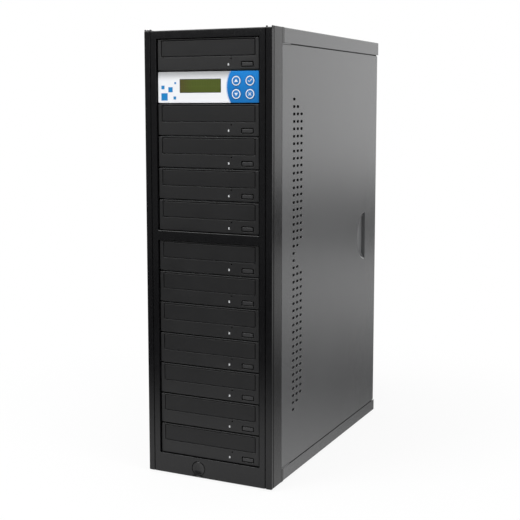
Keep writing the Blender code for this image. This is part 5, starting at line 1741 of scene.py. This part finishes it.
class TOWER_OT_drive_housings(Operator):
    """Make the steel housings of the drives"""

    bl_idname = "tower.drive_housings"
    bl_label = "Drive housings"

    def execute(self, context):
        steel = finish("housing_steel", bare_steel, context.scene.tower_colours.steel)
        shape, row = housing_shape(local_boxes()), Shape()
        for _, offset in drive_offsets():
            row.join(shape.moved(offset))
        make_piece("drive_housings", row, steel)
        return {"FINISHED"}


class TOWER_OT_drive_lights(Operator):
    """Make the activity lights of the drives"""

    bl_idname = "tower.drive_lights"
    bl_label = "Drive lights"

    def execute(self, context):
        lens = finish("light_lens", plain_print, context.scene.tower_colours.light, 0.2)
        shape, row = lens_shape(local_boxes()), Shape()
        for _, offset in drive_offsets():
            row.join(shape.moved(offset))
        make_piece("activity_lights", row, lens)
        return {"FINISHED"}


class TOWER_OT_trays(Operator):
    """Make the disc trays with their doors"""

    bl_idname = "tower.trays"
    bl_label = "Disc trays"

    def execute(self, context):
        base = context.scene.tower_colours.door
        plastic = finish("door_plastic", moulded_plastic, base, 0.52, FINE_RELIEF, 0.3)
        shape = tray_shape(local_boxes(), context.scene.tower_sizes)
        for number, offset in drive_offsets():
            tray = f"tray_{number}"
            make_piece(f"disc_{tray}", shape.moved(offset), plastic, tray, [tray])
        return {"FINISHED"}


class TOWER_OT_eject_buttons(Operator):
    """Make the eject buttons of the drives"""

    bl_idname = "tower.eject_buttons"
    bl_label = "Eject buttons"

    def execute(self, context):
        base = context.scene.tower_colours.cap
        plastic = finish("cap_plastic", moulded_plastic, base, 0.4, FINE_RELIEF, 0.4)
        shape = cap_shape(local_boxes(), context.scene.tower_sizes)
        for number, offset in drive_offsets():
            button = f"eject_button_{number}"
            name = f"eject_cap_{number}"
            make_piece(name, shape.moved(offset), plastic, button, [button])
        return {"FINISHED"}


class TOWER_OT_control_panel(Operator):
    """Make the face of the control panel"""

    bl_idname = "tower.control_panel"
    bl_label = "Control panel"

    def execute(self, context):
        colours = context.scene.tower_colours
        film = finish("panel_print", panel_print, colours.panel, colours.blue)
        shape = panel_shape(context.scene.tower_sizes)
        make_piece("panel_face", shape, film, replaced=["control_panel"])
        return {"FINISHED"}


class TOWER_OT_keys(Operator):
    """Make the four round keys and their signs"""

    bl_idname = "tower.keys"
    bl_label = "Keys"

    def execute(self, context):
        blue = finish("key_blue", plain_print, context.scene.tower_colours.blue, 0.3)
        mark = finish("key_mark", plain_print, context.scene.tower_colours.mark, 0.35)
        for name in KEYS:
            make_piece(f"round_{name}", key_shape(name), blue, name, [name])
            make_piece(f"{name}_sign", key_mark_shape(name), mark, name)
        return {"FINISHED"}


class TOWER_OT_display(Operator):
    """Make the display, its front pane and the gasket round it"""

    bl_idname = "tower.display"
    bl_label = "Display"

    def execute(self, context):
        glass = finish("display_glass", display_glass, context.scene.tower_colours.display)
        dark = finish("gasket_rubber", plain_print, (0.012, 0.012, 0.012), 0.5)
        make_piece("display", display_shape(), glass, replaced=["lcd_module"])
        make_piece("display_pane", pane_shape(), glass)
        make_piece("display_gasket", gasket_shape(), dark)
        return {"FINISHED"}


class TOWER_OT_board(Operator):
    """Finish the controller board"""

    bl_idname = "tower.board"
    bl_label = "Controller board"

    def execute(self, context):
        paint_node("controller_board", board_green())
        return {"FINISHED"}


class TOWER_OT_cover(Operator):
    """Make the folded top cover"""

    bl_idname = "tower.cover"
    bl_label = "Top cover"

    def execute(self, context):
        paint = finish("case_paint", case_paint, context.scene.tower_colours.paint)
        shape = cover_shape(context.scene.tower_sizes)
        make_piece("folded_cover", shape, paint, replaced=["top_cover"])
        return {"FINISHED"}


class TOWER_OT_chassis(Operator):
    """Make the folded chassis with its rear wall"""

    bl_idname = "tower.chassis"
    bl_label = "Chassis"

    def execute(self, context):
        paint = finish("case_paint", case_paint, context.scene.tower_colours.paint)
        shape = chassis_shape(context.scene.tower_sizes)
        make_piece("folded_chassis", shape, paint, replaced=["chassis"])
        return {"FINISHED"}


class TOWER_OT_side_panels(Operator):
    """Make the two side panels and the hooked strips inside them"""

    bl_idname = "tower.side_panels"
    bl_label = "Side panels"

    def execute(self, context):
        paint = finish("case_paint", case_paint, context.scene.tower_colours.paint)
        # The hooks are near-black, a painted shade for the shadow in the seams at the head and foot of each
        # sheet.
        seam_shade = finish("dark_primer", moulded_plastic, (0.006, 0.006, 0.006), 0.7, FINE_RELIEF, 0.2)
        for name, side in SIDES.items():
            node = f"{name}_side_panel"
            shape = side_panel_shape(node, side, context.scene.tower_sizes)
            make_piece(f"{name}_panel_sheet", shape, paint, node, [node])
            make_piece(f"{name}_panel_hooks", panel_hooks_shape(node, side), seam_shade, node)
        return {"FINISHED"}


class TOWER_OT_screws(Operator):
    """Make the screws at the rear and the thumb screws of the side panels"""

    bl_idname = "tower.screws"
    bl_label = "Screws"

    def execute(self, context):
        zinc = finish("screw_steel", bare_steel, (0.45, 0.46, 0.47), 0.3)
        make_piece("rear_screws", rear_screws_shape(), zinc)
        for name, side in SIDES.items():
            make_piece(f"{name}_thumb_screws", thumb_screws_shape(side), zinc, f"{name}_side_panel")
        return {"FINISHED"}


class TOWER_OT_power_supply(Operator):
    """Make the box of the power supply"""

    bl_idname = "tower.power_supply"
    bl_label = "Power supply"

    def execute(self, context):
        steel = finish("supply_steel", bare_steel, context.scene.tower_colours.steel, 0.38)
        make_piece("supply_box", supply_shape(), steel, replaced=["power_supply"])
        return {"FINISHED"}


class TOWER_OT_inlet(Operator):
    """Make the mains inlet with its pins"""

    bl_idname = "tower.inlet"
    bl_label = "Mains inlet"

    def execute(self, context):
        brass = finish("pin_metal", bare_steel, (0.60, 0.57, 0.50), 0.25)
        make_piece("mains_inlet", inlet_shape(), black_plastic())
        make_piece("inlet_pins", pins_shape(), brass)
        return {"FINISHED"}


class TOWER_OT_rocker(Operator):
    """Finish the rocker of the power supply and print its two marks"""

    bl_idname = "tower.rocker"
    bl_label = "Rocker"

    def execute(self, context):
        mark = finish("key_mark", plain_print, context.scene.tower_colours.mark, 0.35)
        paint_node("psu_rocker", black_plastic())
        make_piece("rocker_marks", rocker_marks_shape(), mark, "psu_rocker")
        return {"FINISHED"}


class TOWER_OT_fans(Operator):
    """Make the case fan's frame and the rotors of both fans"""

    bl_idname = "tower.fans"
    bl_label = "Fans"

    def execute(self, context):
        dark = black_plastic()
        make_piece("fan_frame", fan_frame_shape(), dark, replaced=["case_fan_frame"])
        for node, hub in [("case_fan_rotor", FAN_HUB_RADIUS), ("psu_fan_rotor", PSU_HUB_RADIUS)]:
            make_piece(f"{node}_blades", rotor_shape(node, hub), dark, node, [node])
        return {"FINISHED"}


class TOWER_OT_cage(Operator):
    """Finish the drive cage"""

    bl_idname = "tower.cage"
    bl_label = "Drive cage"

    def execute(self, context):
        paint_node("drive_cage", finish("supply_steel", bare_steel, context.scene.tower_colours.steel, 0.38))
        return {"FINISHED"}


class TOWER_OT_loom(Operator):
    """Finish the wiring loom"""

    bl_idname = "tower.loom"
    bl_label = "Wiring loom"

    def execute(self, context):
        paint_node("drive_cables", woven_sleeve())
        return {"FINISHED"}


class TOWER_OT_feet(Operator):
    """Make the four rubber feet"""

    bl_idname = "tower.feet"
    bl_label = "Feet"

    def execute(self, context):
        pads = rubber()
        for end in ("front", "rear"):
            for name in SIDES:
                node = f"{end}_{name}_foot"
                make_piece(f"{end}_{name}_pad", foot_shape(node), pads, BODY, [node])
        return {"FINISHED"}


STEPS = [
    TOWER_OT_stage,
    TOWER_OT_front_frame,
    TOWER_OT_power_button,
    TOWER_OT_drive_faces,
    TOWER_OT_drive_housings,
    TOWER_OT_drive_lights,
    TOWER_OT_trays,
    TOWER_OT_eject_buttons,
    TOWER_OT_control_panel,
    TOWER_OT_keys,
    TOWER_OT_display,
    TOWER_OT_board,
    TOWER_OT_cover,
    TOWER_OT_chassis,
    TOWER_OT_side_panels,
    TOWER_OT_screws,
    TOWER_OT_power_supply,
    TOWER_OT_inlet,
    TOWER_OT_rocker,
    TOWER_OT_fans,
    TOWER_OT_cage,
    TOWER_OT_loom,
    TOWER_OT_feet,
]


class TOWER_PT_steps(Panel):
    """Lists the steps of the tower's making, and its sizes and colours"""

    bl_label = "Duplicator tower"
    bl_space_type = "VIEW_3D"
    bl_region_type = "UI"
    bl_category = "Duplicator"

    def draw(self, context):
        for step in STEPS:
            self.layout.operator(step.bl_idname)
        for group in (context.scene.tower_sizes, context.scene.tower_colours, context.scene.tower_stage):
            for name in group.bl_rna.properties.keys()[2:]:
                self.layout.prop(group, name)


GROUPS = {"tower_sizes": TowerSizes, "tower_colours": TowerColours, "tower_stage": TowerStage}


def register():
    """Makes the groups, the operators and the panel known to Blender."""
    for group in GROUPS.values():
        bpy.utils.register_class(group)
    for kind in [*STEPS, TOWER_PT_steps]:
        bpy.utils.register_class(kind)
    for name, group in GROUPS.items():
        setattr(bpy.types.Scene, name, PointerProperty(type=group))


def unregister():
    """Takes them away again."""
    for name in GROUPS:
        delattr(bpy.types.Scene, name)
    for kind in [TOWER_PT_steps, *STEPS, *GROUPS.values()]:
        bpy.utils.unregister_class(kind)


def main():
    """Runs every step."""
    register()
    for step in STEPS:
        group, name = step.bl_idname.split(".")
        getattr(getattr(bpy.ops, group), name)()
    boxes = {"cad": CAD_BOX, "visual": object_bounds()}
    {name: [list(corner) for corner in box] for name, box in boxes.items()}


if __name__ == "__main__":
    main()
